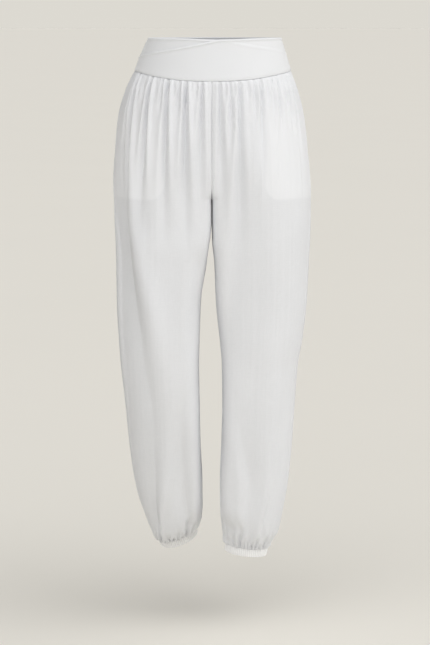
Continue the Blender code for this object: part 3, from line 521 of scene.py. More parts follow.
def sections(side, drop):
    """Each drop's section, from the centre front or inner side round the outside to the centre back."""
    form = form_at(side, drop)
    closed = drop >= FORK
    inner = np.where(closed, np.maximum(form["inner"], HALF_GAP), np.minimum(form["inner"], -HAIR))
    wide = form["crown"] - inner
    middle = (form["front"] + form["back"]) / 2
    cut = np.clip(form["crown"] / wide, 0, 1)
    corner = form["corner"]
    near = np.exp(-(((drop - SQUARE_DROP) / SQUARE_REACH) ** 2))
    further = ease((drop - SQUARE_DROP) / SQUARE_REACH) * ease((SQUARE_END - drop) / SQUARE_REACH)
    square = corner * (1 + SQUARENESS * near + LEG_SQUARENESS * further)

    def kept(power):
        return np.where(closed, 0, (1 - cut**power) ** (1 / power))

    front_deep, back_deep = middle - form["front"], form["back"] - middle
    first = np.arctan2(front_deep * kept(square), form["crown"])
    last = 2 * math.pi - np.arctan2(back_deep * kept(corner), form["crown"])
    angle = first[:, None] + (last - first)[:, None] * np.linspace(0, 1, RING_STEPS)
    cosine, sine = np.cos(angle), np.sin(angle)
    across = np.where(cosine > 0, wide[:, None], (form["outer"] - form["crown"])[:, None])
    deep = np.where(sine > 0, front_deep[:, None], back_deep[:, None])
    inside = np.where(sine > 0, square[:, None], corner[:, None])
    power = np.where(cosine > 0, inside, OUTER_ROUND)
    radius = ((np.abs(cosine) / across) ** power + (np.abs(sine) / deep) ** power) ** (-1 / power)
    x = form["crown"][:, None] - radius * cosine
    y = middle[:, None] - radius * sine
    run = np.zeros_like(x)
    run[:, 1:] = np.cumsum(np.hypot(np.diff(x), np.diff(y)), axis=1)

    def run_at(wanted):
        return look_up(run, (wanted - first) / (last - first) * (RING_STEPS - 1))

    return {
        "x": x, "y": y, "run": run, "closed": closed, "form": form,
        "out": run_at(np.full_like(drop, math.pi)),
        "fork_front": run_at(np.maximum(first, FORK_ANGLE)),
        "fork_back": run_at(np.minimum(last, 2 * math.pi - FORK_ANGLE)),
    }


def grain_lines(ring, panel):
    """(outseam's run, run of grain 0, run of the panel's inner edge)"""
    form, total = ring["form"], ring["run"][:, -1]
    seam = ring["out"] - form["out_turn"]
    turn = np.where(ring["closed"], form["in_turn"], 0)
    if panel == "front":
        return seam, ring["fork_front"], turn
    return seam, ring["fork_back"], total + turn


def form_points(side, panel, drop, grain):
    """Points of the bare form. Above the crotch it goes on past its edge as the mirrored half."""
    levels, which = np.unique(drop, return_inverse=True)
    ring = sections(side, levels)
    seam, fork, _ = grain_lines(ring, panel)
    total, closed = ring["run"][which, -1], ring["closed"][which]
    wanted = seam[which] + (1 - grain) * (fork - seam)[which]
    past = ~closed & ((wanted < 0) | (wanted > total))
    wanted = np.where(past & (wanted > total), 2 * total - wanted, np.where(past, -wanted, wanted))
    wanted = np.where(closed, np.mod(wanted, total), wanted)
    runs = (ring["run"] + RING_SPACE * np.arange(len(levels))[:, None]).ravel()
    low = np.searchsorted(runs, wanted + RING_SPACE * which, side="right") - 1 - which * RING_STEPS
    low = np.clip(low, 0, RING_STEPS - 2)
    start, end = ring["run"][which, low], ring["run"][which, low + 1]
    part = np.clip((wanted - start) / np.maximum(end - start, HAIR), 0, 1)
    x = ring["x"][which, low] * (1 - part) + ring["x"][which, low + 1] * part
    y = ring["y"][which, low] * (1 - part) + ring["y"][which, low + 1] * part
    x = np.where(past, -x, x)
    form = {name: values[which] for name, values in ring["form"].items()}
    fall = (x - (np.maximum(form["inner"], 0) + form["outer"]) / 2) * np.tan(np.radians(form["roll"]))
    lift = (y - (form["front"] + form["back"]) / 2) * np.tan(np.radians(form["pitch"]))
    return np.stack([x, y, BAND_MIDDLE - drop - fall + lift], axis=1)


def bare(side, panel, drop, grain):
    """form_points for any number of points, a few at a time."""
    order = np.argsort(drop, kind="stable")
    made = np.empty((len(drop), 3))
    for part in np.array_split(order, max(1, len(drop) // CHUNK)):
        made[part] = form_points(side, panel, drop[part], grain[part])
    return made


def bare_with_normals(side, panel, drop, grain, edge=None):
    """Points of the bare form and its outward normals, taken inside its edge above the crotch."""
    near = grain - GRAIN_REACH
    if edge is not None:
        near = np.where(drop < FORK, np.maximum(near, edge), near)
    together = np.concatenate([grain, near, near + 2 * GRAIN_REACH])
    here, before, after = np.split(bare(side, panel, np.tile(drop, 3), together), 3)
    upper = np.where(drop < FORK, np.minimum(drop, FORK - ABOVE_FORK), np.maximum(drop - REACH, FORK))
    lower = np.where(drop < FORK, np.minimum(drop + REACH, FORK - HAIR), drop + REACH)
    clear = grain > CLEAR_GRAIN
    upper = np.where(clear, drop - REACH, upper)
    lower = np.where(clear, drop + REACH, lower)
    down = bare(side, panel, lower, grain) - bare(side, panel, upper, grain)
    normal = np.cross(down, after - before) * (1 if panel == "front" else -1)
    return here, normal / np.linalg.norm(normal, axis=1)[:, None]


def panel_width(side, panel, drop):
    """(width from the outseam to grain 0, grain of the inner edge) at each drop."""
    seam, fork, edge = grain_lines(sections(side, drop), panel)
    width = np.abs(fork - seam)
    return width, 1 - np.abs(edge - seam) / width


def seam_drop(panel, grain):
    """Drop of the waistband's lower seam."""
    middle = BAND_DROP_FRONT if panel == "front" else BAND_DROP_BACK
    reach = np.sin(np.clip(grain, 0, 1) * math.pi / 2)
    return middle + (BAND_DROP_SIDE - middle) * reach**SEAM_BEND


def levels_to(first, last, step):
    """Evenly spaced levels, about a step apart, after the first and down to the last."""
    return np.linspace(first, last, round((last - first) / step) + 1)[1:]


def bag_edge(drop, edge):
    """Grain of a pocket bag's inner edge, which rounds off towards its foot."""
    rest = np.clip((BAG_FOOT - drop) / BAG_CORNER, 0, 1)
    return edge + BAG_CORNER_REACH * (1 - np.sqrt(1 - (1 - rest) ** 2))


def leaning_drop(panel, below, grain):
    """Drop along a row that follows the waistband's seam and levels out further down."""
    seam = seam_drop(panel, grain)
    return seam + below * (LEVEL_DROP - seam) / (LEVEL_DROP - BAND_DROP_FRONT)


class Quarter:
    """One quarter of the legs' cloth: its shape, its gathers and its folds."""

    def __init__(self, side, panel, sign):
        self.side, self.panel, self.sign = side, panel, sign
        self.name = f"{panel}_{side}"
        down = np.linspace(BAND_DROP_SIDE, last_drop(side), LEVEL_STEPS[0])
        to_fork = FORK - FORK_REACH * np.linspace(1, 0, LEVEL_STEPS[1]) ** 3
        self.levels = np.sort(np.concatenate([down, to_fork]))
        self.widths, self.inner = panel_width(side, panel, self.levels)
        self.outer = form_at(side, self.levels)["outer"]
        self.gathers = [self.waist_gather(dict(zip(GATHER_COLUMNS, row))) for row in self.gather_rows()]
        self.folds = [self.long_fold(rows) for rows in FOLDS[self.name]]

    def gather_rows(self):
        if self.panel == "front":
            return FRONT_GATHERS[self.side]
        made = []
        for i, across in enumerate(np.linspace(*BACK_SPAN, BACK_GATHERS)):
            length = BACK_LENGTHS[i % len(BACK_LENGTHS)]
            end_across = across * (1 + BACK_SPREAD * length)
            depth = BACK_DEPTH[0] + BACK_DEPTH[1] * length
            width = BACK_WIDTH[0] + BACK_WIDTH[1] * length
            made.append((across, end_across, BAND_DROP_BACK + length, depth, width))
        return made

    def hang(self, drop, across):
        """Where a point lies among the lines that the cloth hangs in, which fan out below the waist."""
        outer = np.interp(drop, self.levels, self.outer)
        turned = np.arcsin(np.clip(across / outer, -1, 1))
        return turned * outer / self.fan(drop)

    def fan(self, drop):
        return (np.interp(drop, self.levels, self.outer) / self.outer[0]) ** FAN

    def waist_gather(self, row):
        start = BAND_DROP_FRONT if self.panel == "front" else BAND_DROP_BACK
        run = row["end"] - start
        drops = np.array([start, start + run * GATHER_LONGER])
        line = self.hang(drops, np.array([row["across"], row["end_across"]]))
        depth = row["depth"] * GATHER_MORE * min(1, run / FULL_RUN) ** 0.5
        return {"drops": drops, "line": line, "depth": depth, "width": row["width"]}

    def long_fold(self, rows):
        fold = dict(zip(FOLD_COLUMNS, np.array(rows).T))
        fold["line"] = self.hang(fold["drop"], fold["across"])
        return fold

    def width_at(self, drop):
        return np.interp(drop, self.levels, self.widths)

    def inner_at(self, drop):
        return np.interp(drop, self.levels, self.inner)

    def edges(self, drop):
        gap = HALF_GAP / self.width_at(drop)
        return self.inner_at(drop) + gap, 1 - gap

    def mouth_lift(self, drop, from_seam):
        along = np.clip((drop - MOUTH[0]) / (MOUTH[1] - MOUTH[0]), 0, 1)
        return MOUTH_LIFT * np.sin(along * math.pi) ** 0.5 * ease(1 - np.abs(from_seam) / MOUTH_REACH)

    def patch(self, drop, grain):
        """How much of the pocket bag shows through the front as a paler patch."""
        if self.panel != "front":
            return np.zeros_like(drop)
        past_edge = grain - bag_edge(drop, PATCH_EDGE[self.side])
        inside = ease(past_edge * self.width_at(drop) / PATCH_SOFT + 0.5)
        return inside * ease((BAG_FOOT - drop) / PATCH_SOFT + 0.5) * ease((drop - PATCH_TOP) / PATCH_FADE)

    def fullness(self, drop, grain, x):
        """How far the gathers, folds, seams and pocket mouth move the cloth out."""
        width = self.width_at(drop)
        away, to_inseam = (1 - grain) * width, (grain - self.inner_at(drop)) * width
        below = drop - seam_drop(self.panel, grain)
        hang = self.hang(drop, x)
        out = self.pinches(below, hang) + self.ripples(drop, hang) + self.waist_fullness(drop, below, hang)
        out += self.fold_fullness(drop, hang) + self.cuff_fullness(drop, grain)
        to_edge = np.maximum(np.minimum(away, to_inseam), 0)
        out *= (1 - np.exp(-((to_edge / CALM) ** 2))) * (1 - np.exp(-((x / CALM) ** 2)))
        if self.panel == "front":
            out += self.mouth_lift(drop, away)
        shown = ease(below / SEAM_FADE)
        return out + shown * (seam_relief(away) * (1 - self.mouth(drop)) + seam_relief(to_inseam))

    def waist_fullness(self, drop, below, hang):
        """The gathers under the waistband, and how the cloth swells out below its seam."""
        out = swelling(below, PUFF, PUFF_REACH, PUFF_END) - SEAM_SINK * np.exp(-((below / SEAM_SINK) ** 2))
        fan, run_in = self.fan(drop), rising(below / GATHER_RUN_IN)
        for g in self.gathers:
            start, end = g["drops"]
            line = np.interp(drop, g["drops"], g["line"])
            along = (drop - start) / (end - start)
            opened = GATHER_NARROW + GATHER_OPENING * np.clip(along, 0, 1)
            strength = run_in * ease(GATHER_FADE * (1 - along)) * (1 + opened) / 2
            out += strength * trough((hang - line) * fan, g["depth"], g["width"] * opened)
        return out

    def fold_fullness(self, drop, hang):
        """The long folds."""
        out, fan = np.zeros_like(drop), self.fan(drop)
        for f in self.folds:
            at = np.clip(drop, *f["drop"][[0, -1]])
            line, depth, wide = [through(f["drop"], f[name], at) for name in ("line", "depth", "width")]
            outer = f is self.folds[-1] and self.name == "front_right"
            spread = OUTER_SPREAD if outer else FOLD_SPREAD
            out += trough((hang - line) * fan, depth * FOLD_MORE[self.side], wide, spread)
        return out

    def cuff_fullness(self, drop, grain):
        """The gathers above the cuff, and how the cloth swells out over it."""
        width, inner = self.width_at(drop), self.inner_at(drop)
        above = last_drop(self.side) - drop
        out = swelling(above, CUFF_PUFF, CUFF_PUFF, CUFF_PUFF_END)
        wide = CUFF_WIDTH * (1 + np.maximum(above, 0) / CUFF_OPENING)
        for i in range(CUFF_GATHERS):
            line = inner + (1 - inner) * (i + 0.5 + CUFF_JITTER * (scatter(i, 4) - 0.5)) / CUFF_GATHERS
            length = CUFF_LENGTHS[(i + (self.panel == "back")) % len(CUFF_LENGTHS)]
            uneven = 1 + CUFF_SCATTER * (scatter(i, 5) - 0.5)
            strength = uneven * rising(above / CUFF_RUN_IN) * ease(1 - above / length)
            out += strength * trough((grain - line) * width, CUFF_DEPTH, wide)
        return out

    def mouth(self, drop):
        """1 along the pocket's mouth, where the two panels aren't sewn to each other."""
        if self.panel == "back":
            return np.zeros_like(drop)
        return ease((drop - MOUTH[0]) / SEAM_FADE) * ease((MOUTH[1] - drop) / SEAM_FADE)

    def pinches(self, below, place):
        """Short, narrow creases right under the waistband's seam."""
        out = np.zeros_like(below)
        for i in range(PINCHES):
            centre = PINCH_SPAN * (i + 1 - PINCH_JITTER * (1 - scatter(i, 0))) / PINCHES
            length = PINCH_LENGTH * (0.5 + scatter(i, 1))
            uneven = PINCH_LEAST + scatter(i, 2)
            lean = PINCH_LEAN * (scatter(i, 3) - 0.5)
            strength = uneven * rising(below / PINCH_RUN_IN) * ease(1 - below / length)
            out += strength * trough(place - centre - lean * below, PINCH_DEPTH, PINCH_WIDTH)
        return out

    def ripples(self, drop, place):
        """Soft, shallow waves that run down the cloth and fade below the hips."""
        out = np.zeros_like(drop)
        for pitch, length, height, phase in RIPPLES:
            bend = RIPPLE_BEND * np.sin(2 * math.pi * drop / length + phase)
            turn = 2 * math.pi * (place / (RIPPLE_SPREAD * pitch) - drop / length) + phase
            swell = (1 + np.sin(turn)) / 2
            out += height * swell * np.sin(2 * math.pi * place / pitch + phase + bend)
        return out * (RIPPLE_LEAST + (1 - RIPPLE_LEAST) * ease((RIPPLE_END - drop) / RIPPLE_FADE))

    def surface(self, drop, grain, inwards=0):
        """Points of the cloth's outer face and its outward directions, on the panel's own side."""
        points, normal = bare_with_normals(self.side, self.panel, drop, grain, self.inner_at(drop))
        out = self.fullness(drop, grain, points[:, 0]) - inwards
        points = points + normal * out[:, None]
        points[:, 0] = np.maximum(points[:, 0], HALF_GAP) * self.sign
        normal[:, 0] *= self.sign
        return points, normal

    def row_plan(self):
        """(drops, grains, how far inwards) of every row, from behind the waistband down into the cuff."""
        rows = []

        def add(level, below=None, inwards=0):
            grain = self.columns(level)
            drop = np.full_like(grain, level) if below is None else leaning_drop(self.panel, below, grain)
            rows.append((drop, grain, np.full_like(grain, inwards)))

        for below, inwards in TUCK:
            add(BAND_DROP_FRONT, below, inwards)
        for below in (*NEAR_BAND, *levels_to(0, LEVEL_DROP - BAND_DROP_FRONT, LEAN_STEP)[1:]):
            add(BAND_DROP_FRONT + below, below)
        bottom = last_drop(self.side)
        above = levels_to(LEVEL_DROP, FORK - FORK_RUN, LEVEL_STEP)
        near_fork = FORK - FORK_RUN * np.linspace(1, FORK_LEAST, FORK_LEVELS)[1:] ** 3
        past_fork = FORK + FORK_RUN / 2 * np.linspace(0, 1, PAST_FORK) ** 2 + HAIR
        middle = levels_to(FORK + FORK_RUN / 2, bottom - CUFF_ZONE, LEVEL_STEP)
        lowest = levels_to(bottom - CUFF_ZONE, bottom, CUFF_STEP)
        for level in (*above, *near_fork, *past_fork, *middle, *lowest):
            add(level)
        for further, inwards in CUFF_TUCK:
            add(bottom + further, None, inwards)
        return rows

    def columns(self, level):
        """Grains across a row: evenly spaced ones, and steps on from grain 0 to the inner edge."""
        first, last = self.edges(level)
        grain = FIXED_GRAIN.copy()
        grain[-1] = last
        if first >= -FORK_STEP / 2:
            grain[0] = first
            return grain
        seam = first + np.array((0, *EDGE_STEPS)) / self.width_at(level)
        steps = np.arange(-FORK_STEP, seam[-1] + FORK_STEP / 3, -FORK_STEP)[::-1]
        return np.concatenate([seam[seam < -FORK_STEP / 3], steps, grain])


def zipped(first, second):
    """Triangles between two rows of (place, vertex)."""
    faces = []
    i = j = 0
    while i < len(first) - 1 or j < len(second) - 1:
        ends = j == len(second) - 1
        if not ends and i < len(first) - 1:
            ends = first[i + 1][0] + first[i][0] <= second[j + 1][0] + second[j][0]
        if ends:
            faces.append((first[i][1], first[i + 1][1], second[j][1]))
            i += 1
        else:
            faces.append((first[i][1], second[j + 1][1], second[j][1]))
            j += 1
    return faces


def woven(rows, fixed):
    """Faces between rows of (place, vertex): quads across the last columns, which all rows share."""
    faces = []
    for first, second in zip(rows, rows[1:]):
        if len(first) == len(second):
            a, b = first, second
        else:
            a, b = first[-fixed:], second[-fixed:]
            faces += zipped(first[: len(first) - fixed + 1], second[: len(second) - fixed + 1])
        faces += [(p[1], q[1], s[1], r[1]) for p, q, r, s in zip(a, a[1:], b, b[1:])]
    return faces


def thinned(items, step):
    """Every so many items, with the last one."""
    kept = items[::step]
    return kept if kept[-1] == items[-1] else kept + [items[-1]]


def thinned_row(row, fixed, step):
    start = len(row) - fixed
    further = thinned(row[:start], step)[:-1] if start > step else []
    return further + thinned(row[start:], step)


def shell(name, rows, points, outwards, uv, fixed, thickness, step):
    """A thin closed sheet: the outer face through the points, and an inner face behind it.

    fixed: how many of the last columns all rows share. step: how many rows and columns of the outer face
    there are for each one of the inner face.
    """
    sizes = [len(row) for row in rows]
    starts = np.concatenate([[0], np.cumsum(sizes)])
    outer = [[(g, starts[i] + k) for k, g in enumerate(row)] for i, row in enumerate(rows)]
    faces = woven(outer, fixed)
    normals = vertex_normals(points, faces)
    turn = np.sign((normals * outwards).sum())
    inner_rows = thinned(outer, step)
    inner = [thinned_row(row, fixed, step) for row in inner_rows]
    kept = np.array([v for row in inner for _, v in row])
    place = {v: len(points) + k for k, v in enumerate(kept)}
    inside = [[(g, place[v]) for g, v in row] for row in inner]
    inner_faces = woven(inside, (fixed - 1) // step + 1)
    rim = []
    for end in (0, -1):
        rim += zipped(outer[end], inside[end])
        order = {id(row): i for i, row in enumerate(outer)}
        edge_out = [(i, row[end][1]) for i, row in enumerate(outer)]
        edge_in = [(order[id(row)], inside[k][end][1]) for k, row in enumerate(inner_rows)]
        rim += zipped(edge_out, edge_in)
    behind = points[kept] - turn * normals[kept] * thickness
    points, uv = np.concatenate([points, behind]), np.concatenate([uv, uv[kept]])
    return plain_mesh(name, points, faces + inner_faces + rim, uv), kept


def vertex_normals(points, faces):
    made = bpy.data.meshes.new("measure")
    made.from_pydata(points.tolist(), [], faces)
    normals = np.empty(len(points) * 3, dtype=np.float32)
    made.vertices.foreach_get("normal", normals)
    bpy.data.meshes.remove(made)
    return normals.reshape(-1, 3).astype(float)


def added(name, data):
    """A new object in the scene."""
    made = bpy.data.objects.new(name, data)
    bpy.context.scene.collection.objects.link(made)
    return made


def plain_mesh(name, points, faces, uv):
    """A mesh object with a cloth map, and with its faces pointing outwards."""
    data = bpy.data.meshes.new(name)
    data.from_pydata(points.tolist(), [], faces)
    layer = data.uv_layers.new(name="cloth")
    corner = np.empty(len(data.loops), dtype=np.int32)
    data.loops.foreach_get("vertex_index", corner)
    layer.data.foreach_set("uv", uv[corner].astype(np.float32).ravel())
    turned = bmesh.new()
    turned.from_mesh(data)
    bmesh.ops.recalc_face_normals(turned, faces=turned.faces)
    turned.to_mesh(data)
    turned.free()
    data.shade_smooth()
    data.set_sharp_from_angle(angle=SHARP)
    return added(name, data)


def give(piece, material, node):
    """Gives a finished piece its finish, attaches it to its body and hides the node it stands for."""
    piece.data.materials.append(material)
    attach(piece, BODY)
    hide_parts(node)


def paint(piece, name, values):
    """A number for each point that the piece's material reads."""
    layer = piece.data.attributes.new(name, "FLOAT", "POINT")
    layer.data.foreach_set("value", values.astype(np.float32))


class Tree:
    """Adds nodes to a material or a group, and links them."""

    def __init__(self, tree):
        self.tree = tree

    def add(self, kind, inputs=(), **settings):
        made = self.tree.nodes.new(kind)
        for name, value in settings.items():
            setattr(made, name, value)
        for name, value in dict(inputs).items():
            if isinstance(value, bpy.types.NodeSocket):
                self.tree.links.new(value, made.inputs[name])
            else:
                made.inputs[name].default_value = value
        return made

    def math(self, operation, first, second=0.0):
        return self.add("ShaderNodeMath", {0: first, 1: second}, operation=operation).outputs[0]

    def blend(self, factor, first, second):
        made = self.add("ShaderNodeMix", {"Factor": factor}, data_type="RGBA")
        for socket, value in ((made.inputs[6], first), (made.inputs[7], second)):
            if isinstance(value, bpy.types.NodeSocket):
                self.tree.links.new(value, socket)
            else:
                socket.default_value = value
        return made.outputs[2]


def principled(name, constants):
    """A new material, its nodes and its shader, on whose sockets these constants are set."""
    made = bpy.data.materials.new(name)
    made.use_nodes = True
    shader = made.node_tree.nodes["Principled BSDF"]
    for socket, value in constants.items():
        shader.inputs[socket].default_value = value
    return made, Tree(made.node_tree), shader


# How each cloth looks. across, down: pitch of its threads. slub_width, slub_length: of its thicker threads.
# cross: how much they also lie crossways. cloud: size of its cloudiness. tone: how much its colour varies.
# thread_relief, slub_relief: in metres.
FINISH_COLUMNS = (
    "across", "down", "slub_width", "slub_length", "cross", "cloud", "tone", "thread_relief", "slub_relief",
    "roughness", "sheen",
)
FINISHES = {
    "weave": (0.00045, 0.0005, 0.0018, 0.018, 0.9, 0.15, 0.030, 0.00001, 0.00012, 0.88, 0.04),
    "jersey": (0.0007, 0.0005, 0.0009, 0.030, 0.3, 0.10, 0.008, 0.00001, 0.00004, 0.80, 0.60),
    "rib": (0.0010, 0.0008, 0.0008, 0.010, 0.3, 0.05, 0.015, 0.00003, 0.00008, 0.90, 0.90),
    "thread": (0.0004, 0.0004, 0.0006, 0.003, 0.3, 0.02, 0.020, 0.00001, 0.00002, 0.70, 0.20),
}
SLUB_DETAIL = 3.0
CLOUD_DETAIL = 2.0
STREAK_ROUGHNESS = 0.6
STREAK_RANGE = (0.35, 0.65)  # the part of the streaks' range that goes from dark to light
SHEEN_SPREAD = 0.5
SHINE = 0.25


def cloth_finish(name, kind, colour, patch=None):
    """A woven or knitted finish on the piece's own cloth map, whose unit is a metre.

    patch: the colour where the piece's "patch" attribute is 1. On the legs that is the paler colour where a
    pocket bag lies behind the cloth; on the cuffs it is painted shade in the ribs' valleys.
    """
    look = dict(zip(FINISH_COLUMNS, FINISHES[kind]))
    made, tree, shader = principled(name, {
        "Roughness": look["roughness"], "Sheen Weight": look["sheen"], "Sheen Roughness": SHEEN_SPREAD,
        "Specular IOR Level": SHINE, "Metallic": 0,
    })
    place = tree.add("ShaderNodeUVMap", uv_map="cloth").outputs[0]
    split = tree.add("ShaderNodeSeparateXYZ", {0: place})

    def threads(position, pitch):
        return tree.math("SINE", tree.math("MULTIPLY", position, 2 * math.pi / pitch))

    def streaks(wide, tall, detail):
        scale = tree.add("ShaderNodeMapping", {"Vector": place, "Scale": (1 / wide, 1 / tall, 1)}).outputs[0]
        settings = {"Vector": scale, "Scale": 1.0, "Detail": detail, "Roughness": STREAK_ROUGHNESS}
        return tree.add("ShaderNodeTexNoise", settings).outputs[0]

    across = threads(split.outputs[0], look["across"])
    down = threads(split.outputs[1], look["down"])
    weave = tree.math("MULTIPLY", across, down)
    lengthways = streaks(look["slub_width"], look["slub_length"], SLUB_DETAIL)
    crossways = streaks(look["slub_length"], look["slub_width"], SLUB_DETAIL)
    slubs = tree.math("ADD", lengthways, tree.math("MULTIPLY", crossways, look["cross"]))
    clouds = streaks(look["cloud"], look["cloud"], CLOUD_DETAIL)

    dark = [*[c * (1 - look["tone"]) for c in colour], 1]
    light = [*[min(1, c * (1 + look["tone"])) for c in colour], 1]
    mixed = tree.math("MULTIPLY", tree.math("ADD", slubs, clouds), 1 / (2 + look["cross"]))
    least, most = STREAK_RANGE
    spread = tree.add("ShaderNodeMapRange", {"Value": mixed, "From Min": least, "From Max": most})
    tinted = tree.blend(spread.outputs[0], dark, light)
    if patch:
        mask = tree.add("ShaderNodeAttribute", attribute_name="patch").outputs["Fac"]
        tinted = tree.blend(mask, tinted, [*patch, 1])
    made.node_tree.links.new(tinted, shader.inputs["Base Color"])

    thread_height = tree.math("MULTIPLY", weave, look["thread_relief"])
    height = tree.math("ADD", thread_height, tree.math("MULTIPLY", slubs, look["slub_relief"]))
    bump = tree.add("ShaderNodeBump", {"Height": height, "Strength": 1.0, "Distance": 1.0})
    made.node_tree.links.new(bump.outputs[0], shader.inputs["Normal"])
    return made


def build_panels(cloth):
    finish = cloth_finish("gathered_weave", "weave", cloth.colour, list(cloth.patch_colour))
    for side, sign in SIDES:
        for panel in ("front", "back"):
            quarter = Quarter(side, panel, sign)
            plan = quarter.row_plan()
            drop, grain, inwards = [np.concatenate(column) for column in zip(*plan)]
            points, outwards = quarter.surface(drop, grain, inwards)
            uv = np.stack([(1 - grain) * quarter.width_at(drop), -drop], axis=1)
            piece, kept = shell(
                f"{side}_{panel}_cloth", [row[1] for row in plan], points, outwards, uv, len(FIXED_GRAIN),
                cloth.thickness, PANEL_THINNING,
            )
            patch = quarter.patch(drop, grain)
            paint(piece, "patch", np.concatenate([patch, patch[kept] * 0]))
            give(
                piece, finish, f"{panel}_{side}",
            )


def build_pocket_bags(cloth):
    lining = cloth_finish("pocket_lining", "weave", cloth.patch_colour)
    for side, sign in SIDES:
        front = Quarter(side, "front", sign)
        plan = []
        for below in np.linspace(0, LEVEL_DROP - BAND_DROP_FRONT, BAG_ROWS[0]):
            grain = np.linspace(BAG_EDGE, front.edges(BAND_DROP_FRONT + below)[1], BAG_COLUMNS)
            plan.append((leaning_drop("front", below, grain), grain))
        for level in np.linspace(LEVEL_DROP, BAG_FOOT, BAG_ROWS[1])[1:]:
            grain = np.linspace(bag_edge(level, BAG_EDGE), front.edges(level)[1], BAG_COLUMNS)
            plan.append((np.full_like(grain, level), grain))
        drop, grain = [np.concatenate(column) for column in zip(*plan)]
        points, outwards = bare_with_normals(side, "front", drop, grain, front.inner_at(drop))
        from_seam = (1 - grain) * front.width_at(drop)
        sink = BAG_SINK * (1 - np.exp(-((from_seam / CALM) ** 2)))
        points += outwards * (front.mouth_lift(drop, from_seam) - sink - BAG_NEAR)[:, None]
        points[:, 0] *= sign
        outwards[:, 0] *= sign
        uv = np.stack([from_seam, -drop], axis=1)
        piece, _ = shell(
            f"{side}_pocket_lining", [row[1] for row in plan], points, outwards, uv, BAG_COLUMNS,
            cloth.thickness, 1,
        )
        give(piece, lining, f"pocket_bag_{side}")


def wrap_edge(place, sign):
    """Drop of a wrap's top edge, which falls from where the wraps cross to the far side seam.

    sign: the side it falls on, -1 for the over wrap and 1 for the under wrap.
    """
    top = BAND_TOP_DIP * np.exp(-(((place - CROSSING) / DIP_REACH) ** 2))
    past = np.clip((place - CROSSING) * sign / (1 - CROSSING * sign), 0, 1)
    return top + (seam_drop("front", np.abs(place)) - top) * WRAP_FALLS[sign] * past


def hem_profile(height_rows, thickness):
    """(share of the height, how much further down, how far inwards) round a layer with round edges."""
    down = (1 - np.cos(np.linspace(0, math.pi, height_rows))) / 2
    up = np.linspace(1, 0, height_rows // 2)
    turn = np.linspace(0, math.pi, HEM_TURNS)[1:-1]
    bulge, inwards = np.sin(turn) - 1, (1 - np.cos(turn)) / 2
    share = np.concatenate([down, np.ones_like(turn), up, np.zeros_like(turn)])
    extra = np.concatenate([1 - 2 * down, bulge, 1 - 2 * up, -bulge])
    depth = np.concatenate([np.zeros_like(down), inwards, np.ones_like(up), 1 - inwards])
    return share, extra * thickness / 2, depth * thickness


def round_faces(rows, around, closed):
    """Quads between rows of points that each run all round. closed: the last row meets the first."""
    index = np.arange(rows * around).reshape(rows, around)
    following = np.roll(index, -1, axis=0)
    quads = np.stack([index, following, np.roll(following, -1, axis=1), np.roll(index, -1, axis=1)], axis=2)
    if closed:
        return quads.reshape(-1, 4).tolist()
    return quads[:-1].reshape(-1, 4).tolist() + [index[0].tolist(), index[-1, ::-1].tolist()]


def build_waistband(band):
    finish = cloth_finish("smooth_jersey", "jersey", band.colour)

    def seam_dip(place, drop, panel):
        """Near the side seams and the lower seam the band is drawn in."""
        side = (1 - np.abs(place)) * BAND_ACROSS / SIDE_DIP
        lower = (seam_drop(panel, np.abs(place)) - drop) / LOWER_DIP
        return -band.seam_dip * (np.exp(-(side**2)) + np.exp(-(lower**2)))

    def bead(place, drop, sign):
        """The folded top edge of a wrap stands up a little."""
        past = drop - wrap_edge(place, sign) - BEAD_PLACE
        return band.edge_bead * np.exp(-((past / BEAD_WIDTH) ** 2))

    def over_relief(place, drop):
        past = ease((place - CROSSING) / SINK_REACH)
        bare = 1 - ease((drop - wrap_edge(place, 1)) / SINK_EDGE + 0.5)
        shown = UNDER_SHOWN * bead(place, drop, 1) - band.wrap_sink * bare
        return seam_dip(place, drop, "front") + bead(place, drop, -1) + shown * past

    # Name, node, panel, how far out it lies, its layers, its top edge and its relief
    layers = (
        ("waistband_back", "band_back", "back", BAND_OVER, 2, np.zeros_like,
         lambda place, drop: seam_dip(place, drop, "back")),
        ("waistband_under_wrap", "band_front_under", "front", 0, 1, lambda place: wrap_edge(place, 1),
         lambda place, drop: bead(place, drop, 1)),
        ("waistband_over_wrap", "band_front_over", "front", BAND_OVER, 1, lambda place: wrap_edge(place, -1),
         over_relief),
    )
    for name, node, panel, out, count, top_edge, relief in layers:
        points, uv = band_points(panel, out, count * BAND_LAYER, top_edge, relief)
        piece = plain_mesh(name, points.reshape(-1, 3), round_faces(*points.shape[:2], False), uv)
        give(piece, finish, node)


def band_points(panel, out, thickness, top_edge, relief):
    """Points and cloth map of a waistband layer, in one row round its section at each place across."""
    places = np.linspace(-1 + BAND_END, 1 - BAND_END, BAND_COLUMNS)
    share, extra, depth = hem_profile(BAND_ROWS, thickness)
    top, bottom = top_edge(places), seam_drop(panel, np.abs(places))
    drop = top[:, None] + (bottom - top)[:, None] * share + extra
    place = np.repeat(places[:, None], len(share), axis=1)
    points = np.empty((*drop.shape, 3))
    for side, sign in SIDES:
        mine = places >= 0 if sign > 0 else places < 0
        d, p = drop[mine].ravel(), place[mine].ravel()
        made, normal = bare_with_normals(side, panel, d, np.abs(p))
        made += normal * (out + relief(p, d) - np.tile(depth, mine.sum()))[:, None]
        made[:, 0] *= sign
        points[mine] = made.reshape(-1, len(share), 3)
    return points, np.stack([place.ravel() * BAND_ACROSS, -drop.ravel()], axis=1)


